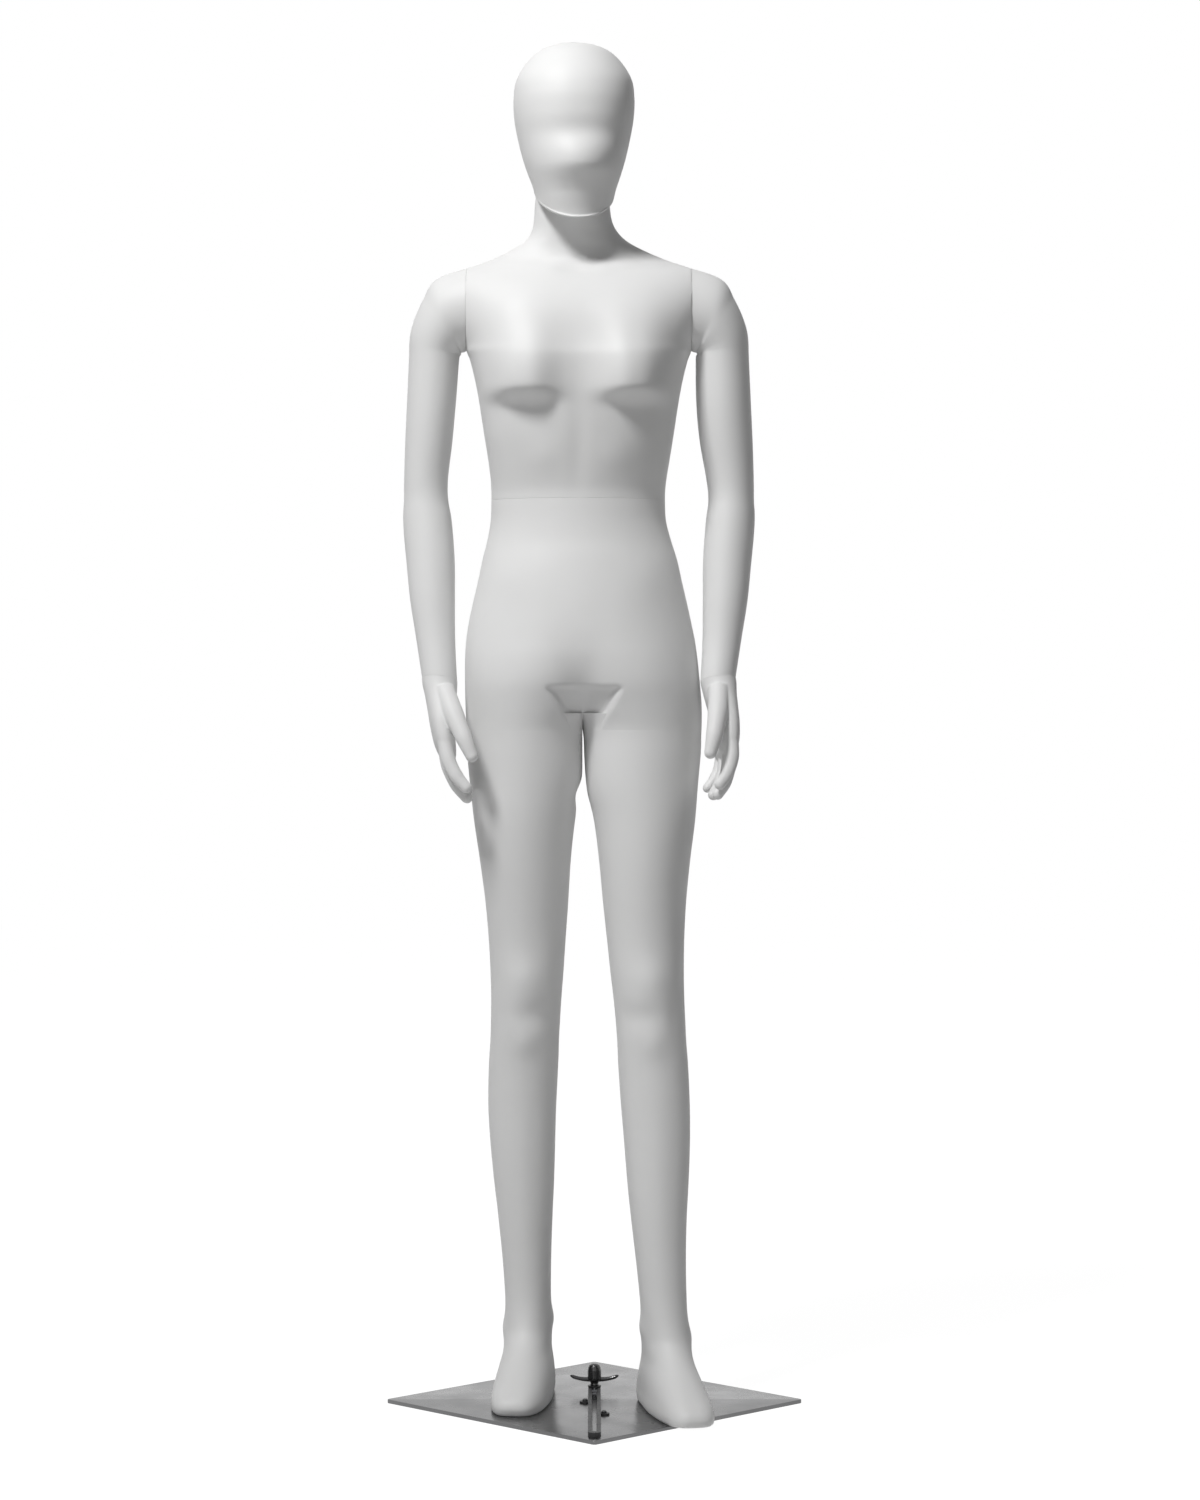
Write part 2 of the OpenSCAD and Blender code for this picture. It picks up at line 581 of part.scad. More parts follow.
// Countersunk-flat screws that hold the disc to the torso wall.
module shoulder_screws(side) {
    color(steel) on_side(side) on_shoulder_axis(arm_plane) shoulder_screw_places()
        translate([0, 0, -wall - 4]) cylinder(d = shoulder_screw_d, h = wall + 4 + shoulder_disc_t);
}
module right_shoulder_screws() { shoulder_screws(-1); }
module left_shoulder_screws() { shoulder_screws(1); }

// Washer and bolt that keep the arm on its stud.
module shoulder_retainer(side) {
    z0 = arm_plate_out + arm_plate_t + 0.6 - arm_plane;
    color(steel) on_side(side) on_shoulder_axis(arm_plane) translate([0, 0, z0]) rotate_extrude()
        polygon([[0, -11], [3.7, -11], [3.7, 0], [17, 0], [17, 2.5], [8, 2.5], [8, 7], [6.5, 8], [0, 8]]);
}
module right_shoulder_retainer() { shoulder_retainer(-1); }
module left_shoulder_retainer() { shoulder_retainer(1); }

// Plug in the end of the forearm with the bore of the wrist pin.
module wrist_socket(side) {
    color(zinc) on_side(side) at_wrist() difference() {
        linear_extrude(10) scale([21 - wall - 0.7, 24 - wall - 0.7]) circle(1, $fn = 64);
        translate([0, 0, -1]) cylinder(r = wrist_pin_d / 2 + fit, h = 12);
    }
}
module right_wrist_socket() { wrist_socket(-1); }
module left_wrist_socket() { wrist_socket(1); }

// ---- hands ----
// Drawn at the wrist: x outward, y back, z up the forearm. The palm faces the thigh.

// height, centre x, centre y, half thickness, depth in front, depth behind, squareness
PALM = [
    [-103, -14, 0, 7, 26, 26, 2.2],
    [-97, -13, 0, 11, 33, 31, 2.3],
    [-84, -10, 0, 14, 37, 35, 2.4],
    [-62, -6, 0, 15.5, 37, 34, 2.4],
    [-40, -3, 0, 16.5, 32, 30, 2.3],
    [-20, -1, 0, 18, 26, 26.5, 2.1],
    [-8, 0, 0, 20, 24, 24.5, 2],
    [0, 0, 0, 21, 24, 24, 2]];
PALM_RINGS = [-103, -98, -88, -74, -58, -42, -27, -13];
HAND_SIDES = 16;
function palm_ring(z, lean, placed = undef) = let (t = at(PALM, z))
    [for (i = [0:HAND_SIDES - 1])
        let (p = oval(360 * (i + 0.5) / HAND_SIDES, t[3], t[4], t[5], t[6]))
        [t[1] + lean * z + p[0], t[2] + p[1], is_undef(placed) ? z : placed]];

// Step along the finger, x, y, z, radius. Each finger curls towards the thigh.
function finger(y, len, r, fan) = [
    [0, -9, y, -78, r],
    [1, -15, y + fan * 0.4, -78 - 0.45 * len, r],
    [2, -26, y + fan * 0.8, -78 - 0.78 * len, r * 0.93],
    [3, -39, y + fan, -78 - len, r * 0.78]];
FINGERS = [finger(-27, 66, 9.2, -1), finger(-9.2, 74, 9.5, 0), finger(9.2, 70, 9.2, 1),
    finger(26, 56, 8.2, 3)];
THUMB = [[0, -4, -20, -22, 12], [1, -15, -36, -56, 11.5], [2, -22, -43, -88, 10],
    [3, -25, -42, -108, 8]];
TUBE_SIDES = 10;

// Direction of a digit at step s.
function heading(T, s) = let (d = at(T, min(s + 0.2, 3)) - at(T, s - 0.2), v = [d[1], d[2], d[3]])
    v / norm(v);

// Ring round a digit at step s, moved on by run, its radius times share.
function digit_ring(T, s, run = 0, share = 1) =
    let (t = at(T, s), w = heading(T, s), q = cross([0, 1, 0], w), u = q / norm(q), v = cross(w, u))
    [for (i = [0:TUBE_SIDES - 1])
        let (a = 360 * (i + 0.5) / TUBE_SIDES)
        [t[1], t[2], t[3]] + run * t[4] * w + share * t[4] * (cos(a) * u + sin(a) * v)];

// Finger or thumb with a round tip, leaning inward with the hand.
module digit(T, lean) {
    L = [for (t = T) [t[0], t[1] + lean * t[3], t[2], t[3], t[4]]];
    skin(concat([for (s = [0:0.75:3]) digit_ring(L, s)],
        [for (q = [35, 62]) digit_ring(L, 3, sin(q), cos(q))]));
}

wrist_hole_depth = 20;
module hand(side, turn, lean) {
    color(shell_white) on_side(side) at_wrist(turn) difference() {
        union() {
            skin(concat([for (z = PALM_RINGS) palm_ring(z, lean)], [palm_ring(0, lean, -seam)]));
            for (f = FINGERS) digit(f, lean);
            digit(THUMB, lean);
        }
        translate([0, 0, -wrist_hole_depth]) cylinder(d = wrist_pin_d + 0.2, h = 30);
    }
}
module right_hand() { hand(-1, right_hand_turn, right_hand_lean); }
module left_hand() { hand(1, left_hand_turn, left_hand_lean); }

module wrist_pin(side) {
    color(steel) on_side(side) at_wrist() translate([0, 0, -19.5]) cylinder(d = wrist_pin_d, h = 29);
}
module right_wrist_pin() { wrist_pin(-1); }
module left_wrist_pin() { wrist_pin(1); }

// ---- stand ----

screw_hole_d = 8;
rail_screw_d = 4;
plate_corner_r = 5;
// Square plate standing on one corner, with the countersunk hole of the foot rod's screw.
module base_plate() {
    a = at(RIGHT_LINE, 5);
    color(steel) difference() {
        rotate([0, 0, 45]) linear_extrude(plate_t) offset(r = plate_corner_r)
            square(plate_side - 2 * plate_corner_r, center = true);
        translate([a[1], a[2], -1]) cylinder(d = screw_hole_d + 0.4, h = plate_t + 2);
        translate([a[1], a[2], -0.01]) cylinder(d1 = 16, d2 = screw_hole_d + 0.4, h = 3.8);
        rail_screw_places() translate([0, 0, -1]) cylinder(d = rail_screw_d + 0.2, h = plate_t + 2);
    }
}

foot_rod_h = 92;
module foot_rod() {
    a = at(RIGHT_LINE, 5);
    color(steel) translate([a[1], a[2], plate_t]) difference() {
        rotate_extrude() polygon([[0, 0], [foot_rod_d / 2, 0], [foot_rod_d / 2, foot_rod_h - 3],
            [foot_rod_d / 2 - 2, foot_rod_h], [0, foot_rod_h]]);
        translate([0, 0, -1]) cylinder(d = screw_hole_d, h = 24);
    }
}

module foot_rod_screw() {
    a = at(RIGHT_LINE, 5);
    color(steel) translate([a[1], a[2], 0]) rotate_extrude() polygon([
        [0, 0.2], [7.6, 0.2], [3.9, 3.9], [3.9, 24], [3, 25], [0, 25]]);
}

// Flanged tube in the right foot and ankle that the foot rod enters.
module foot_socket() {
    a = at(RIGHT_LINE, 5);
    color(zinc) translate([a[1], a[2], sole_z]) difference() {
        union() {
            cylinder(r = socket_flange_r, h = 3);
            cylinder(d = foot_rod_d + 8, h = foot_rod_h + 14);
        }
        translate([0, 0, -1]) cylinder(d = foot_rod_d + 0.3, h = foot_rod_h + 5);
    }
}

rail_w = 16;
rail_h = 6;
rail_back = 62;        // y of the rail's rear end
slot_w = 6.4;
slot_cavity_w = 11;
slot_cavity_h = 3.6;
stud_y = 52;           // the clamp's place along the rail at rest
ear_r = 7;
ear_t = 2.5;
RAIL_EARS = [[-1, -26], [1, -104]];
module rail_screw_places() {
    for (e = RAIL_EARS) translate([e[0] * (rail_w / 2 + 4), e[1], 0]) children();
}

// Bar with a T-shaped slot, rounded ends and an ear on each side for its screws.
module slot_rail() {
    front = rail_back - rail_len;
    color(black) difference() {
        translate([0, 0, plate_t]) union() {
            hull() for (y = [front + rail_w / 2, rail_back - rail_w / 2])
                translate([0, y, 0]) linear_extrude(rail_h) circle(d = rail_w, $fn = 32);
            rail_screw_places() cylinder(r = ear_r, h = ear_t);
        }
        translate([-slot_w / 2, front + 10, plate_t - 1]) cube([slot_w, rail_len - 16, rail_h + 2]);
        translate([-slot_cavity_w / 2, front + 8, plate_t - 1])
            cube([slot_cavity_w, rail_len - 12, slot_cavity_h + 1]);
        rail_screw_places() translate([0, 0, plate_t - 1]) cylinder(d = rail_screw_d + 0.2, h = 5);
    }
}

module rail_screws() {
    color(black) rail_screw_places() translate([0, 0, plate_t + ear_t]) mirror([0, 0, 1])
        pan_screw(6, 7, rail_screw_d);
}

knob_z = 13.4;         // underside of the knob's neck
clamp_stud_d = 5.6;
// T-headed bolt: its head slides in the slot, its shank carries the knob.
module clamp_stud() {
    head = 10.2;
    color(steel) translate([0, stud_y, plate_t + 0.4]) union() {
        translate([-head / 2, -head / 2, 0]) cube([head, head, 2.8]);
        cylinder(d = clamp_stud_d, h = 25.5);
    }
}

module clamp_washer() {
    color(black) translate([0, stud_y, plate_t + rail_h + 0.4]) difference() {
        cylinder(d = 17, h = 1.6);
        translate([0, 0, -1]) cylinder(d = 5.8, h = 4);
    }
}

// Wing knob: tapered neck, round hub and two wings that sweep up.
module wing_knob() {
    color(black) translate([0, stud_y, knob_z]) difference() {
        union() {
            rotate_extrude() polygon([[0, 0], [6, 0], [5, 3], [9, 6.5], [9, 22], [7.5, 26],
                [4, 28], [0, 28.6]]);
            for (m = [0, 1]) mirror([m, 0, 0]) rotate([90, 0, 0]) translate([0, 0, -3])
                linear_extrude(6) polygon([[4, 4], [12, 4.5], [22, 6.5], [wing_span / 2, 9.5],
                    [wing_span / 2, 14], [wing_span / 2 - 3, 15], [22, 11.5], [12, 10.5], [4, 11]]);
        }
        translate([0, 0, -1]) cylinder(d = clamp_stud_d + 2 * fit, h = 19.5);
    }
}

// ---- build ----
base_plate();
slot_rail();
rail_screws();
clamp_stud();
clamp_washer();
wing_knob();
foot_rod();
foot_rod_screw();
foot_socket();
right_leg();
left_leg();
right_leg_plug();
left_leg_plug();
pelvis();
waist_lower_plate();
waist_spigot();
waist_screws();
torso();
waist_upper_plate();
neck_plug();
neck_washer();
right_shoulder_plate();
left_shoulder_plate();
right_shoulder_screws();
left_shoulder_screws();
right_shoulder_retainer();
left_shoulder_retainer();
head();
head_bearing();
right_arm();
left_arm();
right_arm_plate();
left_arm_plate();
right_wrist_socket();
left_wrist_socket();
right_hand();
left_hand();
right_wrist_pin();
left_wrist_pin();
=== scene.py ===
"""Full body display mannequin on a square steel stand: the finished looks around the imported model.
Shapes are worked out in millimetres and put into meshes in metres."""

import math

import bmesh
import bpy
import numpy as np
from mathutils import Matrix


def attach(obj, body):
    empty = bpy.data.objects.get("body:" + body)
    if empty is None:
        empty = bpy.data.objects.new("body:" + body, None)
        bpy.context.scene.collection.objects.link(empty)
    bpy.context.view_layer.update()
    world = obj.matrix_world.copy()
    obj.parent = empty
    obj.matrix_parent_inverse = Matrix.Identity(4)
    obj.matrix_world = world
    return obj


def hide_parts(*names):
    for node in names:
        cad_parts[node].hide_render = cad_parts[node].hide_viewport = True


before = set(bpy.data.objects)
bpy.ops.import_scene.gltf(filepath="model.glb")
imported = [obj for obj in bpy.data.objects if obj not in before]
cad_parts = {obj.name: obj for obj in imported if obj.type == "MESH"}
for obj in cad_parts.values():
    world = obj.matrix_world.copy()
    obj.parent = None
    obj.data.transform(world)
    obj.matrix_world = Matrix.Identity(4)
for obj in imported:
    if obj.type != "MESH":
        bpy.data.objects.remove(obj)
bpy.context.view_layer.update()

scene = bpy.context.scene
scene.view_settings.view_transform = "Standard"

# ---- camera ----
# A long lens about five metres in front of the figure, level with its hips.
camera = bpy.data.objects.new("camera", bpy.data.cameras.new("camera"))
camera.location = (0, -4.95, 0.95)
camera.rotation_euler = (math.radians(90), 0, 0)
camera.data.lens = 92.16
camera.data.sensor_width = 36
camera.data.shift_x = 0.0037
camera.data.shift_y = -0.056
scene.collection.objects.link(camera)
scene.camera = camera

# ---- base plate ----
# A square sheet of polished steel standing on one corner, its edges lightly rounded.
# It carries the rail and the rod that the right foot is slipped on.
PLATE_SIDE = 380
PLATE_THICK = 5
PLATE_CORNER = 5
PLATE_EDGE = 0.8


def make_mesh(name, points, faces, sharp=35):
    """Object from points in millimetres and faces turned outward. Edges sharper than the angle stay crisp."""
    mesh = bpy.data.meshes.new(name)
    mesh.from_pydata((np.asarray(points) / 1000).tolist(), [], faces)
    mesh.validate()
    mesh.shade_smooth()
    mesh.set_sharp_from_angle(angle=math.radians(sharp))
    thing = bpy.data.objects.new(name, mesh)
    scene.collection.objects.link(thing)
    return thing


def stack_faces(rings, sides, offset=0):
    """Faces over a stack of rings: a quad between neighbours, and at each end a fan to a middle point."""
    i = np.arange(sides)
    k = (i + 1) % sides
    j = np.arange(rings - 1)[:, None] * sides
    quads = np.stack([j + i, j + k, j + sides + k, j + sides + i], -1).reshape(-1, 4) + offset
    low = rings * sides + offset
    top = (rings - 1) * sides + offset
    fans = [[low, int(b) + offset, int(a) + offset] for a, b in zip(i, k)]
    fans += [[low + 1, int(a) + top, int(b) + top] for a, b in zip(i, k)]
    return quads.tolist() + fans


def stack_points(rings):
    """Points of a stack of rings and the middle points of its two ends."""
    return np.concatenate([rings.reshape(-1, 3), rings[:1].mean(1), rings[-1:].mean(1)])


def volume(points, faces):
    """Six times the signed volume inside a closed mesh, positive where its faces point outward."""
    quads = np.array([f + f[-1:] if len(f) == 3 else f for f in faces])
    a, b, c, d = (points[quads[:, n]] for n in range(4))
    halves = [np.einsum("ij,ij->i", a, np.cross(p, q)) for p, q in [(b, c), (c, d)]]
    return float((halves[0] + halves[1]).sum())


def shell(name, rings, sharp=35):
    """Closed object over one or more stacks of rings, each an array of rings by sides by three in millimetres."""
    points, faces, count = [], [], 0
    for stack in rings if isinstance(rings, list) else [rings]:
        part = stack_points(stack)
        part_faces = stack_faces(stack.shape[0], stack.shape[1])
        if volume(part, part_faces) < 0:
            part_faces = [f[::-1] for f in part_faces]
        faces += [[v + count for v in f] for f in part_faces]
        points.append(part)
        count += len(part)
    return make_mesh(name, np.concatenate(points), faces, sharp)


def rounded_square(half, corner, turn, count=16):
    """Outline of a square with round corners, turned by an angle."""
    t = np.linspace(0, math.pi / 2, count)
    arcs = [np.stack([np.cos(t + q * math.pi / 2) * corner + (half - corner) * sx,
                      np.sin(t + q * math.pi / 2) * corner + (half - corner) * sy], -1)
            for q, (sx, sy) in enumerate([(1, 1), (-1, 1), (-1, -1), (1, -1)])]
    flat = np.concatenate(arcs)
    c, s = math.cos(turn), math.sin(turn)
    return flat @ np.array([[c, s], [-s, c]])


def edge_round(z0, z1, radius, steps=5):
    """Insets and heights up a wall with both its edges rounded."""
    t = np.linspace(0, math.pi / 2, steps)
    low = [(radius * (1 - math.sin(v)), z0 + radius * (1 - math.cos(v))) for v in t]
    return low + [(inset, z0 + z1 - z) for inset, z in reversed(low)]


def node_material(name, base, rough, metallic=0.0, **sockets):
    """New material with its shader's plain sockets set. Returns it with its nodes, links and shader."""
    material = bpy.data.materials.new(name)
    material.use_nodes = True
    tree = material.node_tree
    shader = tree.nodes["Principled BSDF"]
    shader.inputs["Base Color"].default_value = (*base, 1)
    shader.inputs["Roughness"].default_value = rough
    shader.inputs["Metallic"].default_value = metallic
    for socket, value in sockets.items():
        shader.inputs[socket.replace("_", " ")].default_value = value
    return material, tree.nodes, tree.links, shader


def noise(nodes, links, scale, detail=4, stretch=(1, 1, 1), turn=0.0, roughness=0.55):
    """Noise on the object's own coordinates, stretched and turned about the vertical."""
    place = nodes.new("ShaderNodeTexCoord")
    mapping = nodes.new("ShaderNodeMapping")
    mapping.inputs["Rotation"].default_value = (0, 0, turn)
    mapping.inputs["Scale"].default_value = stretch
    texture = nodes.new("ShaderNodeTexNoise")
    texture.inputs["Scale"].default_value = scale
    texture.inputs["Detail"].default_value = detail
    texture.inputs["Roughness"].default_value = roughness
    links.new(place.outputs["Object"], mapping.inputs["Vector"])
    links.new(mapping.outputs["Vector"], texture.inputs["Vector"])
    return texture.outputs["Fac"]


def spread(nodes, links, value, low, high, start=0.3, end=0.7):
    """Runs a value from low to high between start and end."""
    ramp = nodes.new("ShaderNodeMapRange")
    ramp.inputs["From Min"].default_value = start
    ramp.inputs["From Max"].default_value = end
    ramp.inputs["To Min"].default_value = low
    ramp.inputs["To Max"].default_value = high
    links.new(value, ramp.inputs["Value"])
    return ramp.outputs["Result"]


def tint(nodes, links, value, low, high, start=0.3, end=0.7):
    """Runs a colour from low to high as a value goes from start to end."""
    ramp = nodes.new("ShaderNodeValToRGB")
    ramp.color_ramp.elements[0].position = start
    ramp.color_ramp.elements[0].color = (*low, 1)
    ramp.color_ramp.elements[1].position = end
    ramp.color_ramp.elements[1].color = (*high, 1)
    links.new(value, ramp.inputs["Fac"])
    return ramp.outputs["Color"]


def bump(nodes, links, shader, height, distance, strength=1.0):
    """Fine relief from a height, its depth in metres."""
    relief = nodes.new("ShaderNodeBump")
    relief.inputs["Strength"].default_value = strength
    relief.inputs["Distance"].default_value = distance
    links.new(height, relief.inputs["Height"])
    links.new(relief.outputs["Normal"], shader.inputs["Normal"])


def dress(thing, material, body, slot, *nodes):
    """Gives a piece its material and the body it rides on, and hides the solids it stands for. slot, its finish,
    is not used.
    """
    thing.data.materials.clear()
    thing.data.materials.append(material)
    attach(thing, body)
    if nodes:
        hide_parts(*nodes)
    return thing


def finish_solids(material, *nodes):
    """Gives its finish to solids that show as they are."""
    for node in nodes:
        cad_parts[node].data.materials.clear()
        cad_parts[node].data.materials.append(material)


plate_material, n, l, shader = node_material("polished_plate_steel", (0.165, 0.165, 0.168), 0.24, 1.0)
l.new(tint(n, l, noise(n, l, 9, 5), (0.15, 0.15, 0.153), (0.18, 0.18, 0.183)), shader.inputs["Base Color"])
brush = noise(n, l, 60, 3, (1, 30, 1), math.radians(45))
l.new(spread(n, l, noise(n, l, 14, 4), 0.2, 0.34), shader.inputs["Roughness"])
bump(n, l, shader, brush, 0.00002)



def plate_ring(inset, z):
    """Outline of the plate at a height, drawn in by inset."""
    outline = rounded_square(PLATE_SIDE / 2 - inset, PLATE_CORNER - inset, math.radians(45))
    return np.concatenate([outline, np.full((len(outline), 1), z)], 1)


plate_rings = np.stack([plate_ring(inset, z) for inset, z in edge_round(0, PLATE_THICK, PLATE_EDGE)])
plate = shell("base_plate_steel", plate_rings, 30)
dress(plate, plate_material, "stand", "plate_steel", "base_plate")

# ---- slotted rail and its screws ----
# A black powder-coated bar with a T slot, held to the plate by a screw in an ear on each side.
rail_material, n, l, shader = node_material("black_powder_coat", (0.012, 0.012, 0.013), 0.5)
l.new(tint(n, l, noise(n, l, 30, 4), (0.009, 0.009, 0.01), (0.018, 0.018, 0.019)),
      shader.inputs["Base Color"])
l.new(spread(n, l, noise(n, l, 200, 3), 0.42, 0.6), shader.inputs["Roughness"])
bump(n, l, shader, noise(n, l, 900, 2), 0.00012)
finish_solids(rail_material, "slot_rail", "rail_screws", "clamp_washer")

# ---- clamp stud, foot fittings and the fittings inside the joints ----
# Zinc-plated steel: the T-headed stud of the clamp, the rod, screw and socket in the right foot, the
# waist spigot with its screws, the shoulder plates with theirs, and the wrist pins.
zinc_material, n, l, shader = node_material("zinc_plated_steel", (0.56, 0.57, 0.59), 0.34, 1.0)
l.new(tint(n, l, noise(n, l, 120, 5), (0.48, 0.49, 0.51), (0.6, 0.61, 0.63)), shader.inputs["Base Color"])
l.new(spread(n, l, noise(n, l, 260, 3), 0.28, 0.46), shader.inputs["Roughness"])
bump(n, l, shader, noise(n, l, 700, 2), 0.00002)
finish_solids(zinc_material, "clamp_stud", "foot_rod", "foot_rod_screw", "foot_socket", "waist_spigot",
              "waist_screws", "right_shoulder_plate", "left_shoulder_plate", "right_shoulder_screws",
              "left_shoulder_screws", "right_shoulder_retainer", "left_shoulder_retainer",
              "right_wrist_pin", "left_wrist_pin")

# ---- wing knob ----
# Gloss black moulded knob on the stud: a narrow neck, a round hub and two wings that sweep up.
KNOB_PLACE = (0, 52, 13.4)
# radius, height
HUB = np.array([[0, 0], [5.2, 0], [5.6, 0.4], [5.0, 3], [6.4, 5.2], [8.4, 7], [8.8, 9], [8.8, 20],
                [8.3, 23.4], [6.4, 26.6], [3.4, 28.2], [0, 28.6]])
TIP_START, TIP_LONG = 26, 6
# distance from the hub's middle, height, half height, half depth
WING = np.array([[2, 7.6, 3.2, 3.4], [8, 7.6, 3.1, 3.3], [14, 7.9, 2.8, 3.1], [20, 8.8, 2.6, 3.0],
                 [26, 10.4, 2.6, 3.0], [30, 11.8, 2.4, 2.8], [31.6, 12.4, 1.5, 1.8]])


def table(rows, s, soft=0.0):
    """Smooth rows of a table at each s: a cubic between two rows, its slopes from their neighbours.
    With soft, the mean of the rows a little before and after is taken, which rounds the joins off."""
    if soft:
        return table(rows, s) / 2 + table(rows, s - soft) / 4 + table(rows, s + soft) / 4
    rows = np.asarray(rows, float)
    s = np.clip(np.asarray(s, float), rows[0, 0], rows[-1, 0])
    last = len(rows) - 1
    count = np.arange(last + 1)
    before, after = rows[np.maximum(count - 1, 0)], rows[np.minimum(count + 1, last)]
    slopes = (after - before) / (after[:, :1] - before[:, :1])
    i = np.clip(np.searchsorted(rows[:, 0], s, "right") - 1, 0, last - 1)
    gap = (rows[i + 1, 0] - rows[i, 0])[..., None]
    t = (s - rows[i, 0])[..., None] / gap
    return (rows[i] * (2 * t ** 3 - 3 * t ** 2 + 1) + slopes[i] * gap * (t ** 3 - 2 * t ** 2 + t)
            + rows[i + 1] * (3 * t ** 2 - 2 * t ** 3) + slopes[i + 1] * gap * (t ** 3 - t ** 2))


def turned(profile, sides=64, steps=120):
    """Rings of a profile of radius and height turned about the vertical, evenly spaced along it."""
    run = np.concatenate([[0], np.cumsum(np.hypot(*np.diff(profile, axis=0).T))])
    s = np.linspace(0, run[-1], steps)
    r, z = np.interp(s, run, profile[:, 0]), np.interp(s, run, profile[:, 1])
    a = np.linspace(0, 2 * math.pi, sides, endpoint=False)
    r = np.maximum(r, 0.01)
    r = r[:, None]
    return np.stack([r * np.cos(a), r * np.sin(a), np.repeat(z[:, None], sides, 1)], -1)


def wing_rings(side):
    """Rings across one wing: an oval carried along its centre line, closing to a round tip."""
    rows = table(WING, np.linspace(WING[0, 0], WING[-1, 0], 40))
    a = np.linspace(0, 2 * math.pi, 24, endpoint=False)
    past = rows[:, 0] - TIP_START
    tip = np.where(past > 0, np.sqrt(np.clip(1 - (past / TIP_LONG) ** 2, 0.02, 1)), 1)
    return np.stack([np.repeat(side * rows[:, :1], 24, 1), (rows[:, 3] * tip)[:, None] * np.cos(a),
                     rows[:, 1:2] + (rows[:, 2] * tip)[:, None] * np.sin(a)], -1)


knob_material, n, l, shader = node_material("gloss_black_plastic", (0.012, 0.012, 0.013), 0.2, Coat_Weight=0.4)
l.new(spread(n, l, noise(n, l, 90, 4), 0.14, 0.3), shader.inputs["Roughness"])
l.new(tint(n, l, noise(n, l, 40, 3), (0.01, 0.01, 0.011), (0.02, 0.02, 0.021)), shader.inputs["Base Color"])
bump(n, l, shader, noise(n, l, 500, 2), 0.00003)
knob = shell("wing_knob_moulding", [stack + np.array(KNOB_PLACE) for stack in
                                    [turned(HUB), wing_rings(1), wing_rings(-1)]], 50)
dress(knob, knob_material, "knob", "black_knob", "wing_knob")

# ---- legs and feet ----
# Hollow moulded legs in satin white lacquer with plain mitten feet. The right foot slips on the rod.
# They are bonded to the hips at the top of the thighs, where the lacquer covers the joint.
SOLE = 5
SOLE_EDGE, SOLE_TUCK = 4, 2.6
HIP = 870
GROIN = -15.5
THIGH_GAP, THIGH_EDGE = 0.04, 1.2
FOOT_TOP, FOOT_BLEND = 150, 90
HEEL_TAPER = 0.14
KNEE = 500
KNEE_CAP, KNEE_HOLLOW, KNEE_FOOT = 548, 503, 468
# height, half width, depth in front, depth behind, squareness
LEG = [
    [5, 36, 158, 54, 3.6], [8, 37.5, 162, 57, 3.5], [16, 38, 163, 59, 3.4], [26, 37.5, 157, 60, 3.1],
    [38, 36, 136, 59, 2.6], [50, 34, 111, 57, 2.3], [65, 31, 81, 54, 2.1], [80, 30.5, 59, 50, 2],
    [95, 29.8, 46, 47, 2], [133, 29.8, 38, 43, 2], [184, 31.8, 37, 44, 2], [236, 35.2, 39, 47, 2],
    [287, 39.2, 41, 53, 2], [339, 42.2, 43, 59, 2], [391, 44.2, 45, 61, 2], [442, 44.8, 47, 56, 2],
    [468, 44.3, 50, 52, 2], [494, 44.7, 53.5, 49, 2], [519, 45.3, 55, 49, 2], [545, 46.5, 54, 52, 2],
    [597, 49.5, 57, 58, 2], [648, 53.5, 63, 64, 2], [700, 58.5, 70, 70, 2], [751, 65, 76, 78, 2],
    [800, 72, 80, 88, 2], [835, 75, 82, 96, 2], [870, 77, 84, 103, 2], [900, 86, 90, 114, 2]]
# height, centre x, centre y
RIGHT_LINE = [
    [5, -86, 41], [95, -86, 41], [133, -86.3, 41], [236, -89.6, 35], [339, -93, 27], [391, -93.3, 23],
    [494, -89, 12], [560, -87, 7], [640, -87, 3], [700, -89, 0], [751, -90, -2], [800, -88.5, -3],
    [870, -88, -4], [900, -80, -4]]
LEFT_LINE = [
    [5, 92, -36], [95, 91, -36], [133, 88.5, -35], [236, 82.8, -30], [339, 80.3, -25], [391, 78, -23],
    [494, 72, -20], [560, 67.5, -18], [640, 64.5, -14], [700, 64.5, -11], [751, 64.5, -8], [800, 61.5, -6],
    [870, 61, -4], [900, 52, -4]]
LEG_ROUND = 144


def bell(v):
    """Bell curve: 1 at 0, almost 0 at 2.5."""
    return np.exp(-np.square(v))


def ease(v):
    """Smooth step from 0 at 0 to 1 at 1."""
    v = np.clip(v, 0, 1)
    return v * v * (3 - 2 * v)


def oval(a, w, f, b, n):
    """Points at angles a of an oval: half width w, depth f in front and b behind, squareness n."""
    c, s = np.cos(a), np.sin(a)
    return w * np.sign(c) * np.abs(c) ** (2 / n), np.where(s < 0, f, b) * np.sign(s) * np.abs(s) ** (2 / n)


def ring_angles(count):
    """Angles of the points of a ring, half a step off the axes."""
    return ((np.arange(count) + 0.5) / count * 2 * math.pi)[None, :]


def lump(out, across, wide, up, tall):
    """Soft swell that stands out most where across and up are 0 and fades over wide and tall."""
    return out * bell(across / wide) * bell(up / tall)


def around(angle, centre):
    """Angle from a centre direction in degrees, both ways round."""
    d = np.degrees(angle) - centre
    return (d + 180) % 360 - 180


def soft_min(a, b, k):
    """Smaller of two values, rounded over a band k."""
    return np.minimum(a, b) - np.maximum(k - np.abs(a - b), 0) ** 2 / (4 * k)


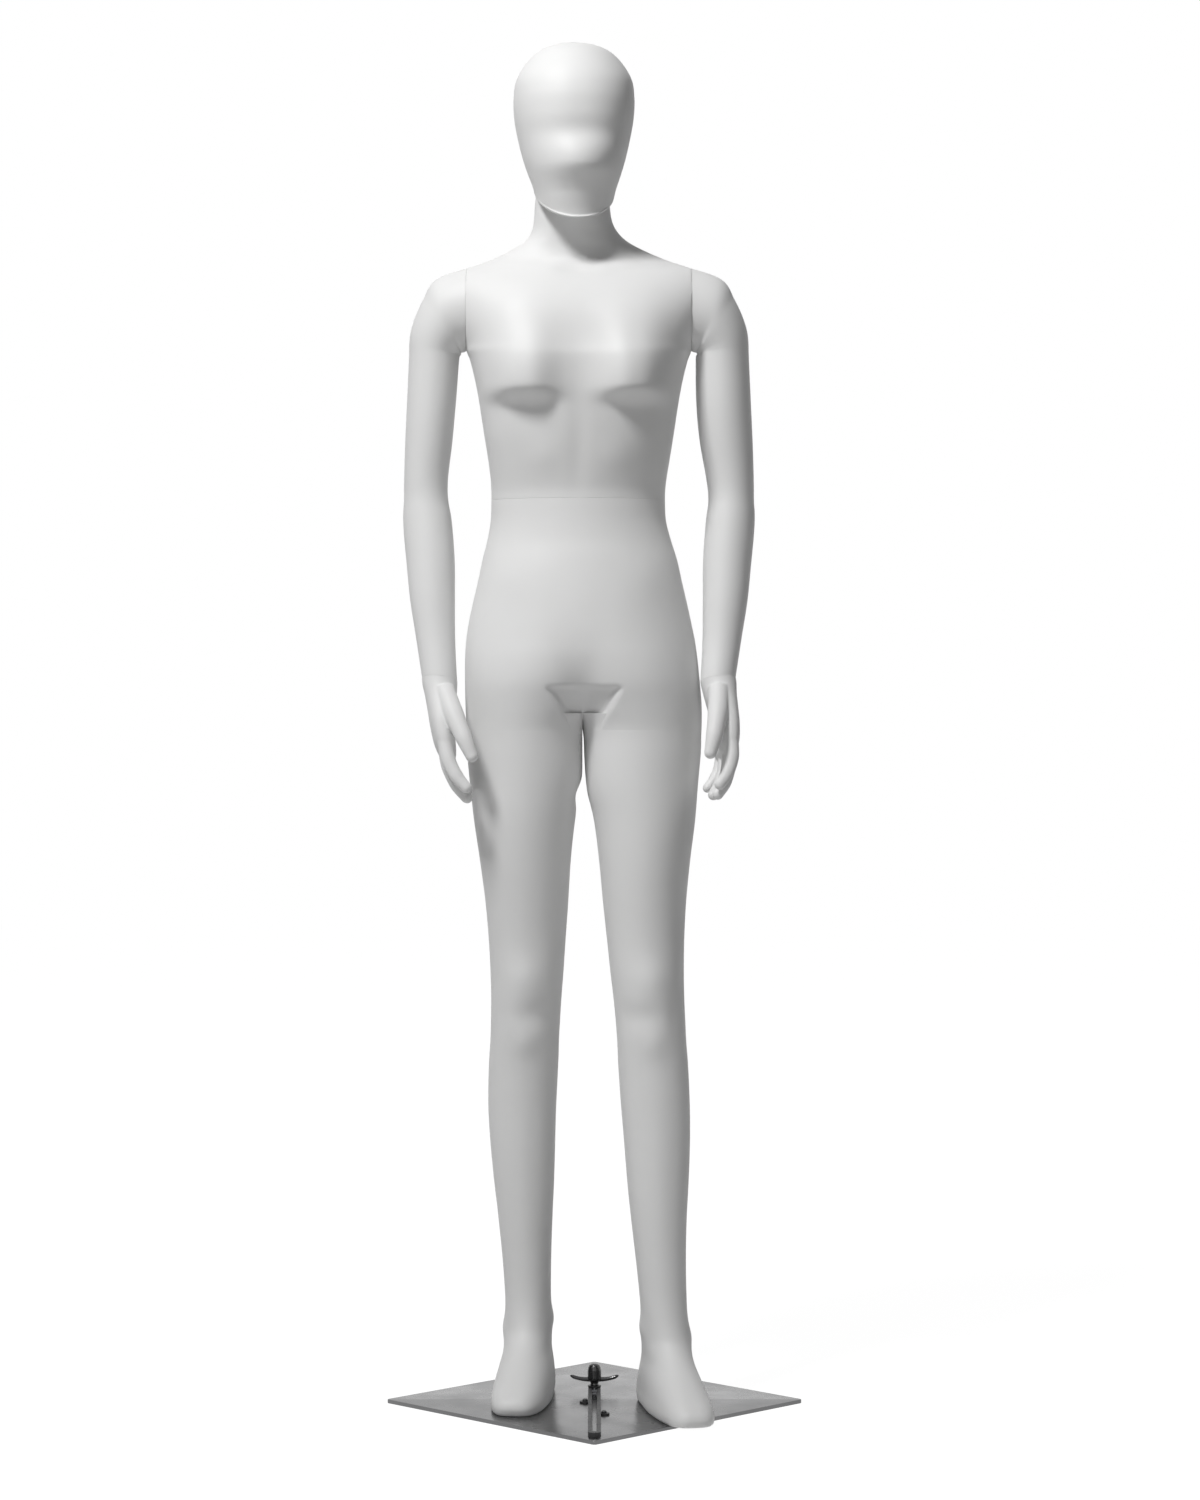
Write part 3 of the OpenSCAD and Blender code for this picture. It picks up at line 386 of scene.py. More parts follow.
def leg_relief(a, z, side):
    """Swell of the leg at an angle and height: knee with the hollows about it, shin, calf, back of the
    knee, heel cord, ankle bones, arch, front of the thigh and the top of the inner thigh."""
    front, back = around(a, -90), around(a, 90)
    inner, outer = around(a, 0 if side < 0 else 180), around(a, 180 if side < 0 else 0)
    knee = (lump(5.5, front - 4 * side, 30, z - KNEE_CAP, 26)
            - lump(3.5, front + 14 * side, 34, z - KNEE_HOLLOW, 18)
            + lump(2.0, front, 20, z - KNEE_FOOT, 18))
    dimples = -1.6 * (bell((front - 44) / 16) + bell((front + 44) / 16)) * bell((z - KNEE) / 26)
    shin = lump(1.0, front, 22, z - 300, 120)
    calf = lump(3.0, back - 32, 30, z - 380, 55) + lump(3.0, back + 32, 30, z - 370, 60)
    bend = lump(-4.0, back, 38, z - KNEE, 34)
    cord = lump(2.6, back, 20, z - 120, 60) - 3.0 * (
        bell((back - 48) / 20) + bell((back + 48) / 20)) * bell((z - 105) / 40)
    bones = lump(3.6, inner, 24, z - 104, 15) + lump(3.2, outer, 24, z - 92, 15)
    arch = lump(-3.0, inner + (40 if side < 0 else -40), 34, z - 24, 16)
    thigh = lump(2.0, front, 50, z - 690, 90)
    crotch = lump(-5.0 if side < 0 else 1.0, inner, 30, z - 784, 15)
    return knee + dimples + shin + calf + bend + cord + bones + arch + thigh + crotch


def leg_rings(line, side, toe_out):
    """Rings of a leg from the sole to just inside the hips."""
    z = np.concatenate([SOLE + np.array([0, 0.4, 1.2, 2.4, SOLE_EDGE]), np.arange(11, 100, 2),
                        np.arange(100, HIP - 2, 4), HIP + np.array([-2, 0, 4, 10, 20])])
    t, c = table(LEG, z, 5.0), table(line, z, 5.0)
    foot = ease((FOOT_TOP - z) / FOOT_BLEND)[:, None]
    a = ring_angles(LEG_ROUND)
    up_edge = np.clip(1 - ((SOLE + SOLE_EDGE - z) / SOLE_EDGE) ** 2, 0, 1)
    sole = np.where(z < SOLE + SOLE_EDGE, SOLE_TUCK * (1 - np.sqrt(up_edge)), 0)[:, None]
    inset = sole + np.clip(z - (HIP - 2), 0, None)[:, None] * 0.12
    x, y = oval(a, t[:, 1:2] - inset, t[:, 2:3] - inset, t[:, 3:4] - inset, t[:, 4:5])
    swell = leg_relief(a, z[:, None], side) * ease((z[:, None] - 8) / 20)
    size = np.hypot(x, y)
    x, y = x * (1 + swell / size), y * (1 + swell / size)
    x = x * (1 - HEEL_TAPER * ease((y + 60) / 90) * ease((90 - z[:, None]) / 90))
    reach = np.abs(c[:, 1:2] - GROIN) - THIGH_GAP
    x = -side * soft_min(-side * x, reach, THIGH_EDGE)
    yaw = math.radians(side * toe_out) * foot
    return np.stack([c[:, 1:2] + x * np.cos(yaw) - y * np.sin(yaw),
                     c[:, 2:3] + x * np.sin(yaw) + y * np.cos(yaw),
                     np.repeat(z[:, None], LEG_ROUND, 1)], -1)


lacquer, n, l, shader = node_material("satin_white_lacquer", (0.8, 0.8, 0.797), 0.55,
                                      Specular_IOR_Level=0.4)
l.new(tint(n, l, noise(n, l, 6, 5), (0.785, 0.785, 0.78), (0.815, 0.815, 0.812)),
      shader.inputs["Base Color"])
l.new(spread(n, l, noise(n, l, 25, 4), 0.5, 0.62), shader.inputs["Roughness"])
bump(n, l, shader, noise(n, l, 260, 3), 0.00006)

for side, line, toe_out, word in [(-1, RIGHT_LINE, 6, "right"), (1, LEFT_LINE, 12, "left")]:
    leg = shell(word + "_leg_shell", leg_rings(line, side, toe_out), 50)
    dress(leg, lacquer, "stand", "white_shell", word + "_leg")

# ---- hips ----
# Hollow moulded hips with the tops of the thighs, closed at the waist by a plate with a square spigot.
# height, centre x, centre y, half distance of the two sides, half width of each, front, behind
HIPS = [
    [835, -13.6, -4, 75, 75, 82, 96], [870, -13.5, -4, 74.5, 77, 84, 103], [900, -14, -4, 66, 86, 90, 114],
    [930, -15.5, -4, 56, 95, 96, 119], [960, -17, -3, 44, 105.5, 97, 118], [985, -18, -2, 33, 114, 95, 113],
    [1010, -18.7, -1, 24, 118.5, 93, 106], [1035, -18.7, 0, 16, 121, 91, 98], [1061, -18.7, 2, 9, 122, 89, 90],
    [1087, -18.9, 4, 4, 121.5, 86, 83], [1112, -19.7, 6, 1, 117.5, 82, 77], [1138, -20.8, 7.5, 0, 113, 80, 73],
    [1164, -21, 8, 0, 112, 79, 72]]
WAIST = 1164
SEAM = 0.16
WALL = 4
HIP_ROUND = 240
WAIST_POCKET = 32
RECESS_LOW, RECESS_HIGH = 866, 922
RECESS_MID, RECESS_EDGE = 2, 7


def ray(c, s, d, w, h):
    """Distance along a direction from the middle to an oval whose centre lies d to the side."""
    aa = (c / w) ** 2 + (s / h) ** 2
    bb = d * c / w ** 2
    cc = (d / w) ** 2 - 1
    return (bb + np.sqrt(np.maximum(0, bb * bb - aa * cc))) / aa


def soft_max(a, b, k):
    """Larger of two values, rounded over a band k."""
    return np.maximum(a, b) + np.maximum(k - np.abs(a - b), 0) ** 2 / (4 * np.maximum(k, 0.01))


def hip_relief(a, x, z):
    """Swell of the hips: seat, hip bones, belly and the sunk triangle in front between the thighs."""
    front, back = around(a, -90), around(a, 90)
    seat = 5 * bell((np.abs(back) - 32) / 30) * bell((z - 930) / 38)
    bones = 2.0 * bell((np.abs(front) - 52) / 18) * bell((z - 1062) / 26)
    belly = 3.0 * bell(front / 34) * bell((z - 985) / 50)
    half = 14 + 33 * np.clip((z - RECESS_LOW) / (RECESS_HIGH - RECESS_LOW), 0, 1)
    depth = 8 + 0.2 * (RECESS_HIGH + 2 - z)
    recess = (-depth * ease((RECESS_HIGH + 4 - z) / RECESS_EDGE)
              * ease((half + 3 - np.abs(x - RECESS_MID)) / RECESS_EDGE) * (np.abs(front) < 90))
    return seat + bones + belly + recess


def hip_rings():
    """Rings of the hips from just below the thigh joint to the waist, then down into the waist's pocket."""
    z = np.concatenate([[HIP - 2], np.arange(HIP, WAIST - 1, 3), [WAIST - SEAM / 2]])
    t = table(HIPS, z, 5.0)
    a = ring_angles(HIP_ROUND)
    c, s = np.cos(a), np.sin(a)
    w, h, d = t[:, 4:5], np.where(s < 0, t[:, 5:6], t[:, 6:7]), np.maximum(t[:, 3:4], 0)
    blend = d / 2 * ease((z[:, None] - 840) / 60)
    r = soft_max(ray(c, s, d, w, h), ray(c, s, -d, w, h), blend)
    r = r + hip_relief(a, r * c, z[:, None]) * ease((WAIST - z[:, None]) / 30)

    def placed(radius, height):
        return np.stack([t[:, 1:2] + radius * c, t[:, 2:3] + radius * s, height + 0 * radius], -1)
    outer = placed(r, z[:, None])
    lip = placed(r - WALL, z[:, None])[-1:]
    return np.concatenate([outer, lip, lip - np.array([0, 0, WAIST_POCKET])])


hips = shell("hips_shell", hip_rings(), 50)
dress(hips, lacquer, "stand", "white_shell", "pelvis")

# ---- leg plugs, waist plates, neck plug and the other closing plates ----
# Grey moulded plastic plates and bearings that close the shells where they meet. Those at the waist
# show when the torso is lifted.
grey_material, n, l, shader = node_material("grey_moulded_plastic", (0.3, 0.3, 0.31), 0.5)
l.new(tint(n, l, noise(n, l, 50, 4), (0.27, 0.27, 0.28), (0.33, 0.33, 0.34)), shader.inputs["Base Color"])
l.new(spread(n, l, noise(n, l, 180, 3), 0.42, 0.58), shader.inputs["Roughness"])
bump(n, l, shader, noise(n, l, 800, 2), 0.00008)
finish_solids(grey_material, "right_leg_plug", "left_leg_plug", "waist_lower_plate", "waist_upper_plate",
              "neck_plug", "head_bearing", "right_arm_plate", "left_arm_plate", "right_wrist_socket",
              "left_wrist_socket")

# ---- neck washer ----
# A black felt washer on the neck pin that the head turns on.
felt_material, n, l, shader = node_material("black_felt", (0.03, 0.03, 0.03), 0.95)
l.new(tint(n, l, noise(n, l, 700, 4), (0.02, 0.02, 0.02), (0.06, 0.06, 0.06)), shader.inputs["Base Color"])
bump(n, l, shader, noise(n, l, 1500, 3), 0.0003)
finish_solids(felt_material, "neck_washer")

# ---- torso ----
# Hollow moulded torso with a small bust and the neck in one piece, a flat face at each shoulder for the
# arm. It is open at the waist, where it drops over the spigot, and at the top of the neck.
ARM_PLANE = 145
SHOULDER_Y, SHOULDER_Z = 8, 1410
ARMHOLE_H, ARMHOLE_D = 53, 52
NECK_TOP = 1572
NECK_X, NECK_Y = -28, 12
TORSO_ROUND = 264
UPPER_START, UPPER_BLEND = 1290, 60
GUIDE_POCKET, NECK_POCKET = 60, 20
BUST_OUT, BUST_SIDE, BUST_HEIGHT = 27, 73, 1310
# height, centre x, centre y, half width, depth in front, depth behind, squareness
TORSO = [
    [1164, -21, 8, 112, 79, 72, 2.0], [1175, -20.9, 7.8, 112.1, 79.2, 72.8, 2.03],
    [1190, -20.5, 6.4, 113.3, 80.6, 75.6, 2.1], [1216, -20, 4, 117, 84, 82, 2.2],
    [1241, -20, 2, 121, 87, 87, 2.3], [1267, -20, 1, 125, 90, 91, 2.35], [1293, -20, 0, 129, 92, 94, 2.4],
    [1319, -20, 0, 134, 94, 97, 2.4], [1345, -20, 0, 140.5, 94.5, 98, 2.4], [1357, -20, 1, 145, 93, 98, 2.4],
    [1400, -20, 4, 145, 85.5, 96, 2.4], [1430, -20, 8, 145, 74.5, 89, 2.4], [1450, -20, 12, 145, 64, 76, 2.3],
    [1463, -20, 15, 144.5, 53, 62, 2.2], [1473, -20.5, 17, 117, 47, 55, 2.1], [1486, -22, 18, 88, 46, 52, 2],
    [1499, -24, 17, 66, 47, 50, 2], [1512, -26, 15, 55, 48, 49, 2], [1525, -27.8, 13, 50.5, 49, 49, 2],
    [1545, -28.6, 12, 48.4, 48.6, 49, 2], [1556, -28.2, 12, 47.8, 48, 48, 2], [1572, -28, 12, 47.8, 48, 48, 2]]


def torso_relief(x, z, s):
    """How far the torso stands out in front and behind: bust, collar bones, the notch between them, ribs,
    belly groove, spine and shoulder blades. All of it fades out towards the sides."""
    side = np.abs(x)
    above = bell((z - BUST_HEIGHT) / 74)
    below = bell(np.abs((BUST_HEIGHT - z) / 21) ** 1.5)
    bust = (BUST_OUT * bell(np.abs((side - BUST_SIDE) / 42) ** 1.3)
            * np.where(z > BUST_HEIGHT, above, below))
    collar = 2.6 * bell((z - 1456 - side * 0.12) / 7) * ease((side - 18) / 16) * ease((128 - side) / 30)
    notch = lump(-2.5, x, 13, z - 1462, 12)
    ribs = lump(1.8, side - 46, 24, z - 1216, 22)
    line = lump(-1.6, x, 12, z - 1235, 60)
    front = bust + collar + notch + ribs + line
    back = lump(-6, x, 16, z - 1290, 120) + lump(5, side - 68, 34, z - 1385, 45)
    return (np.where(s < 0, front * np.minimum(1, -2.5 * s), 0),
            np.where(s > 0, back * np.minimum(1, 2.5 * s), 0))


def torso_rings():
    """Rings of the torso from the waist to the neck, with a pocket at each end. A plane cuts each
    shoulder to the outline of the arm's end."""
    z = np.concatenate([[WAIST + SEAM / 2], np.arange(1167, 1440, 3), np.arange(1440, 1500, 1.5),
                        np.arange(1500, NECK_TOP, 3), [NECK_TOP]])
    upper = ease((z[:, None] - UPPER_START) / UPPER_BLEND)
    t = upper * table(TORSO, z, 1.5) + (1 - upper) * table(TORSO, z, 5.0)
    a = ring_angles(TORSO_ROUND)
    s = np.sin(a)
    hole = ARMHOLE_D * np.sqrt(np.clip(1 - ((z - SHOULDER_Z) / ARMHOLE_H) ** 2, 0, 1))[:, None]
    away = np.where(s < 0, t[:, 2:3] - SHOULDER_Y + hole, SHOULDER_Y + hole - t[:, 2:3])
    deep = np.where(s < 0, t[:, 4:5], t[:, 5:6])
    reach = ARM_PLANE / (1 - (np.maximum(away, 0) / deep) ** t[:, 6:7]) ** (1 / t[:, 6:7])
    half = np.where(np.abs(z[:, None] - SHOULDER_Z) < ARMHOLE_H, reach, t[:, 3:4])
    x, y = oval(a, half, t[:, 4:5], t[:, 5:6], t[:, 6:7])
    x = np.clip(x, -ARM_PLANE, ARM_PLANE)
    front, back = torso_relief(x, z[:, None], s)
    y = y - front + back

    def placed(inset, height):
        size = np.hypot(x, y)
        return np.stack([t[:, 1:2] + x * (1 - inset / size), t[:, 2:3] + y * (1 - inset / size),
                         height + 0 * x], -1)
    outer = placed(0, z[:, None])
    inner = placed(WALL, z[:, None])
    waist_lip, neck_lip = inner[:1], inner[-1:]
    return np.concatenate([waist_lip + np.array([0, 0, GUIDE_POCKET]), waist_lip, outer, neck_lip,
                           neck_lip - np.array([0, 0, NECK_POCKET])])


torso = shell("torso_shell", torso_rings(), 40)
dress(torso, lacquer, "torso", "white_shell", "torso")

# ---- head ----
# Hollow moulded head with a plain abstract face, open underneath, where it sits over the neck.
HEAD_YAW = 5
# step, height, centre y, half width, depth in front, depth behind, tilt, squareness
HEAD = [
    [0, 1752.5, -6, 4, 4, 4, 0, 2], [1, 1745, -6, 36, 40, 43, 0, 2], [2, 1731, -6, 56.5, 64, 67, 0, 2.05],
    [3, 1705, -6, 73.5, 84, 85, 0, 2.15], [4, 1680, -6, 77.5, 93, 91, 0, 2.2],
    [5, 1654, -6, 76.5, 95, 90, 0, 2.2], [6, 1628, -6, 72, 96, 85, 2, 2.15],
    [7, 1603, -6, 66, 95, 79, 7, 2.1], [8, 1584, -6, 60, 93, 75, 13, 2],
    [9, 1570, -6, 54.5, 91, 73.5, 20, 2], [10, 1560, -6, 51.5, 88, 72.5, 25, 2]]
HEAD_ROUND = 200
CHIN_RIM, CHIN_RIM_STEP = 1.6, 9.9
NECK_BORE = 49.3


def face(x, z):
    """How far the face stands out from the oval, x from its middle: a shallow hollow across the eyes, a
    low round middle, and a lower part that falls back towards the chin."""
    eyes = lump(-4.5, x, 60, z - 1627, 17)
    muzzle = lump(6, x, 44, z - 1592, 24)
    mouth = -14 * bell(x / 64) * ease((1588 - z) / 38)
    chin = -8 * ease((1562 - z) / 38) * bell(x / 60)
    return eyes + muzzle + (mouth + chin)


def head_rings():
    """Rings of the pocket that takes the neck, then of the head from its underside up over the crown. A
    thin rim runs round the chin."""
    u = np.concatenate([np.linspace(10, 6, 70), np.linspace(6, 2, 70)[1:], np.linspace(2, 0, 50)[1:]])
    t = table(HEAD, u)
    a = ring_angles(HEAD_ROUND)
    x, y = oval(a, t[:, 3:4], t[:, 4:5], t[:, 5:6], t[:, 7:8])
    z = t[:, 1:2] + y * np.tan(np.radians(t[:, 6:7]))
    s = np.sin(a)
    rim = CHIN_RIM * bell((u[:, None] - CHIN_RIM_STEP) / 0.09)
    y = t[:, 2:3] + y - np.where(s < 0, (face(x, z) + rim) * np.minimum(1, -2 * s), 0) - NECK_Y
    yaw = math.radians(HEAD_YAW)

    def placed(x, y, z):
        return np.stack([NECK_X + x * math.cos(yaw) - y * math.sin(yaw),
                         NECK_Y + x * math.sin(yaw) + y * math.cos(yaw), z + 0 * x], -1)

    def neck(radius, height):
        return placed(radius * np.cos(a), radius * np.sin(a), height)
    pocket = [neck(NECK_BORE, 1626), neck(NECK_BORE, 1562), neck(NECK_BORE + 0.5, 1560.5)]
    return np.concatenate(pocket + [placed(x, y, z)])


head = shell("head_shell", head_rings(), 50)
dress(head, lacquer, "head", "white_shell", "head")

# ---- arms ----
# Hollow moulded arms, slightly bent, with a plate at the shoulder that turns on the stud. The right arm
# mirrors the left one, but the left one is a little fuller on its inner side.
MID_X = -20
# step, out from the middle, y, height, tilt, pitch, half width, depth in front, depth behind
ARM = [
    [0, 145.14, 8, 1410, 90, 0, 53, 52, 52], [1, 168.6, 8, 1401, 70, 0, 49.5, 50, 50],
    [2, 176.5, 8, 1387.5, 55, 0, 42.5, 48, 47], [3, 182, 8.5, 1374, 37, 0, 37, 45.5, 45],
    [4, 185, 9, 1361, 17, 0, 34, 43, 43.5], [5, 186, 9.5, 1347, 4, 1, 33.3, 41.5, 42],
    [6, 188.5, 11, 1293, -2, 2, 33.5, 39.5, 41], [7, 192, 13, 1241, -3, 1, 32.5, 38, 39],
    [8, 196.5, 14, 1190, -2, -3, 29.5, 35.5, 37], [9, 197, 13, 1164, 1, -6, 29, 34.5, 36.5],
    [10, 195, 10, 1138, 3, -10, 31, 35.5, 36], [11, 191, 1, 1087, 3.5, -13, 31, 35.5, 33.5],
    [12, 188.3, -11, 1035, 4, -14.5, 29, 32, 30], [13, 183.6, -24, 983, 5, -15.4, 25.2, 26.5, 25.5],
    [14, 178, -38, 932, 5.6, -15.4, 22.5, 24, 24]]
ARM_LIP, POCKET_DEEP = 6, 12
STUD_INSET, STUD_DEEP = 30, 22
ARM_ROUND = 112


def arm_ring(side, s, inset=0.0, shift=0.0, relief=1.0):
    """Rings of the arm at steps s, drawn in by inset, with the swell of its shoulder, upper arm, elbow
    and forearm. shift moves them along their own axis, away from the hand."""
    t = table(ARM, s)
    tilt, pitch = np.radians(t[:, 4:5]), np.radians(t[:, 5:6])
    step = t[:, :1]
    more = side * 2 * bell((step - 6.6) / 1.9)
    a = ring_angles(ARM_ROUND)
    p, q = oval(a, t[:, 6:7] + more - inset, t[:, 7:8] - inset, t[:, 8:9] - inset, 2)
    front, back, outer = around(a, -90), around(a, 90), around(a, 0)
    swell = (lump(1.6, outer, 45, step - 3.4, 1.1) + lump(1.6, front, 45, step - 6.4, 1.0)
             + lump(2.2, back, 26, step - 9.0, 0.5) + lump(1.4, outer, 40, step - 10.4, 0.9)) * relief
    grow = 1 + swell / np.maximum(np.hypot(p, q), 1)
    p, q = p * grow, q * grow
    lean, rise = p * np.sin(tilt), shift * np.cos(tilt)
    x = t[:, 1:2] - more + p * np.cos(tilt) - shift * np.sin(tilt)
    y = t[:, 2:3] - lean * np.sin(pitch) + q * np.cos(pitch) - rise * np.sin(pitch)
    z = t[:, 3:4] + lean * np.cos(pitch) + q * np.sin(pitch) + rise * np.cos(pitch)
    return np.stack([MID_X + side * x, y, z], -1)


def arm_rings(side):
    """Rings of an arm from its shoulder pocket over the outside to the pocket at the wrist."""
    last = ARM[-1][0]
    zero, end = np.zeros(1), np.full(1, float(last))
    steps = np.concatenate([np.linspace(0.02, 5, 90), np.linspace(5, last, 150)[1:]])
    return np.concatenate([
        arm_ring(side, zero, STUD_INSET, -STUD_DEEP), arm_ring(side, zero, STUD_INSET, -POCKET_DEEP),
        arm_ring(side, zero, ARM_LIP, -POCKET_DEEP), arm_ring(side, zero, ARM_LIP), arm_ring(side, zero),
        arm_ring(side, steps, relief=ease(steps[:, None] / 2)),
        arm_ring(side, end, WALL), arm_ring(side, end, WALL, POCKET_DEEP)])


for side, word in [(-1, "right"), (1, "left")]:
    arm = shell(word + "_arm_shell", arm_rings(side), 50)
    dress(arm, lacquer, word + "_arm", "white_shell", word + "_arm")

# ---- hands ----
# Moulded hands with closed fingers that curl towards the thigh, each turned on a pin at the wrist.
# Drawn at the wrist: x outward, y back, z up the forearm.
# height, centre x, centre y, half thickness, depth in front, depth behind, squareness
PALM = [
    [-103, -14, 0, 7, 26, 26, 2.2], [-97, -13, 0, 11, 33, 31, 2.3], [-84, -10, 0, 14, 37, 35, 2.4],
    [-62, -6, 0, 15.5, 37, 34, 2.4], [-40, -4, 0, 17.5, 33, 30, 2.3], [-20, -3, 0, 20.5, 27.5, 26.5, 2.1],
    [-8, -1.9, 0, 22.4, 25, 25, 2], [0, -1.5, 0, 22.9, 24.4, 24.4, 2],
    [14, -1.4, 0, 23.2, 24.6, 24.6, 2]]
# step, x, y, z, radius
THUMB = [[0, -8, -16, -16, 13.5], [1, -22, -33, -52, 12.5], [2, -36, -42, -84, 10.5],
         [3, -46, -42, -106, 8]]
KNUCKLES = -78
# middle of the wrist pin, out from the middle, y and height, and how the pin leans
WRIST = (179.5, -38, 932)
WRIST_TILT, WRIST_PITCH = 5.6, -15.4
SKIN_GRAIN = 0.0011


def finger(y, length, radius, fan):
    """Rows of a finger: step, x, y, z, radius. It curls towards the thigh."""
    return [[0, -9, y, KNUCKLES, radius], [1, -15, y + fan * 0.4, KNUCKLES - 0.45 * length, radius],
            [2, -26, y + fan * 0.8, KNUCKLES - 0.78 * length, radius * 0.93],
            [3, -39, y + fan, KNUCKLES - length, radius * 0.78]]


def digit_rings(rows, lean):
    """Rings of a finger or thumb along its curve, a little fuller at its joints, with a round tip."""
    s = np.linspace(0, 3, 60)
    t = table(rows, s)
    middle = t[:, 1:4] + np.stack([lean * t[:, 3], 0 * s, 0 * s], -1)
    along = np.gradient(middle, axis=0)
    along /= np.linalg.norm(along, axis=1, keepdims=True)
    across = np.cross([0.0, 1.0, 0.0], along)
    across /= np.linalg.norm(across, axis=1, keepdims=True)
    up = np.cross(along, across)
    a = ring_angles(24)[..., None]
    joints = 1 + 0.03 * bell((s - 1) / 0.25) + 0.03 * bell((s - 2) / 0.2)
    radius = (t[:, 4] * joints)[:, None, None]
    body = middle[:, None] + radius * (np.cos(a) * across[:, None] + np.sin(a) * up[:, None])
    q = np.radians(np.linspace(8, 86, 12))[:, None, None]
    rim = np.cos(a) * across[-1] + np.sin(a) * up[-1]
    tip = middle[-1] + radius[-1] * (np.sin(q) * along[-1] + np.cos(q) * rim)
    return np.concatenate([body, tip])


def palm_rings(lean):
    """Rings of the palm and the back of the hand, from the knuckles to a little past the wrist."""
    z = np.linspace(PALM[0][0], PALM[-1][0], 64)
    t = table(PALM, z)
    x, y = oval(ring_angles(64), t[:, 3:4], t[:, 4:5], t[:, 5:6], t[:, 6:7])
    return np.stack([t[:, 1:2] + lean * np.minimum(z, 0)[:, None] + x, t[:, 2:3] + y,
                     z[:, None] + 0 * x], -1)


def at_wrist(points, side, turn):
    """Points drawn at the wrist, moved to the end of the forearm of one side."""
    (cz, sz), (cy, sy), (cx, sx) = [(math.cos(v), math.sin(v)) for v in
                                    map(math.radians, [turn, -WRIST_TILT, WRIST_PITCH])]
    about_z = np.array([[cz, -sz, 0], [sz, cz, 0], [0, 0, 1]])
    about_y = np.array([[cy, 0, sy], [0, 1, 0], [-sy, 0, cy]])
    about_x = np.array([[1, 0, 0], [0, cx, -sx], [0, sx, cx]])
    placed = points @ (about_x @ about_y @ about_z).T + np.array(WRIST)
    return placed * np.array([side, 1, 1]) + np.array([MID_X, 0, 0])


def hand_shell(name, side, turn, lean):
    """Palm and digits melted into one skin, smoothed, and cut flat at the wrist."""
    fingers = [finger(-27, 66, 9.2, -1), finger(-9.2, 74, 9.5, 0), finger(9.2, 70, 9.2, 1),
               finger(26, 56, 8.2, 3)]
    stacks = [palm_rings(lean)] + [digit_rings(rows, lean) for rows in fingers + [THUMB]]
    hand = shell(name, [at_wrist(stack, side, turn) for stack in stacks], 180)
    melt = hand.modifiers.new("melt", "REMESH")
    melt.mode = "VOXEL"
    melt.voxel_size = SKIN_GRAIN
    smooth = hand.modifiers.new("smooth", "SMOOTH")
    smooth.factor = 0.5
    smooth.iterations = 9
    bpy.context.view_layer.update()
    result = hand.evaluated_get(bpy.context.evaluated_depsgraph_get())
    made = bpy.data.meshes.new_from_object(result)
    hand.modifiers.clear()
    hand.data = made
    base, up = at_wrist(np.array([[0, 0, -SEAM], [0, 0, 1.0]]), side, turn) / 1000
    cut = bmesh.new()
    cut.from_mesh(made)
    everything = cut.verts[:] + cut.edges[:] + cut.faces[:]
    edge = bmesh.ops.bisect_plane(cut, geom=everything, plane_co=base, plane_no=up - base,
                                  clear_outer=True)["geom_cut"]
    rim = [e for e in edge if isinstance(e, bmesh.types.BMEdge)]
    bmesh.ops.contextual_create(cut, geom=rim)
    bmesh.ops.recalc_face_normals(cut, faces=cut.faces[:])
    cut.to_mesh(made)
    cut.free()
    made.shade_smooth()
    made.set_sharp_from_angle(angle=math.radians(60))
    return hand


for side, word, turn, lean in [(-1, "right", 0, 0.09), (1, "left", 12, -0.12)]:
    hand = hand_shell(word + "_hand_shell", side, turn, lean)
    dress(hand, lacquer, word + "_hand", "white_shell", word + "_hand")

# ---- floor, backdrop and light ----
# A plain pale studio floor and a surround that is white where it is seen or mirrored and dim as a
# light. A soft lamp hangs above and to the left of the figure, and a weak wide one stands low on that side.
FLOOR_HALF = 9
FLOOR_GLOW, FLOOR_GLOW_SHARE = 1.18, 0.82
SURROUND_LIGHT, SURROUND_SEEN = 0.09, 1.0


def brighter_of(nodes, links, first, second):
    """Larger of two values."""
    larger = nodes.new("ShaderNodeMath")
    larger.operation = "MAXIMUM"
    links.new(first, larger.inputs[0])
    links.new(second, larger.inputs[1])
    return larger.outputs[0]


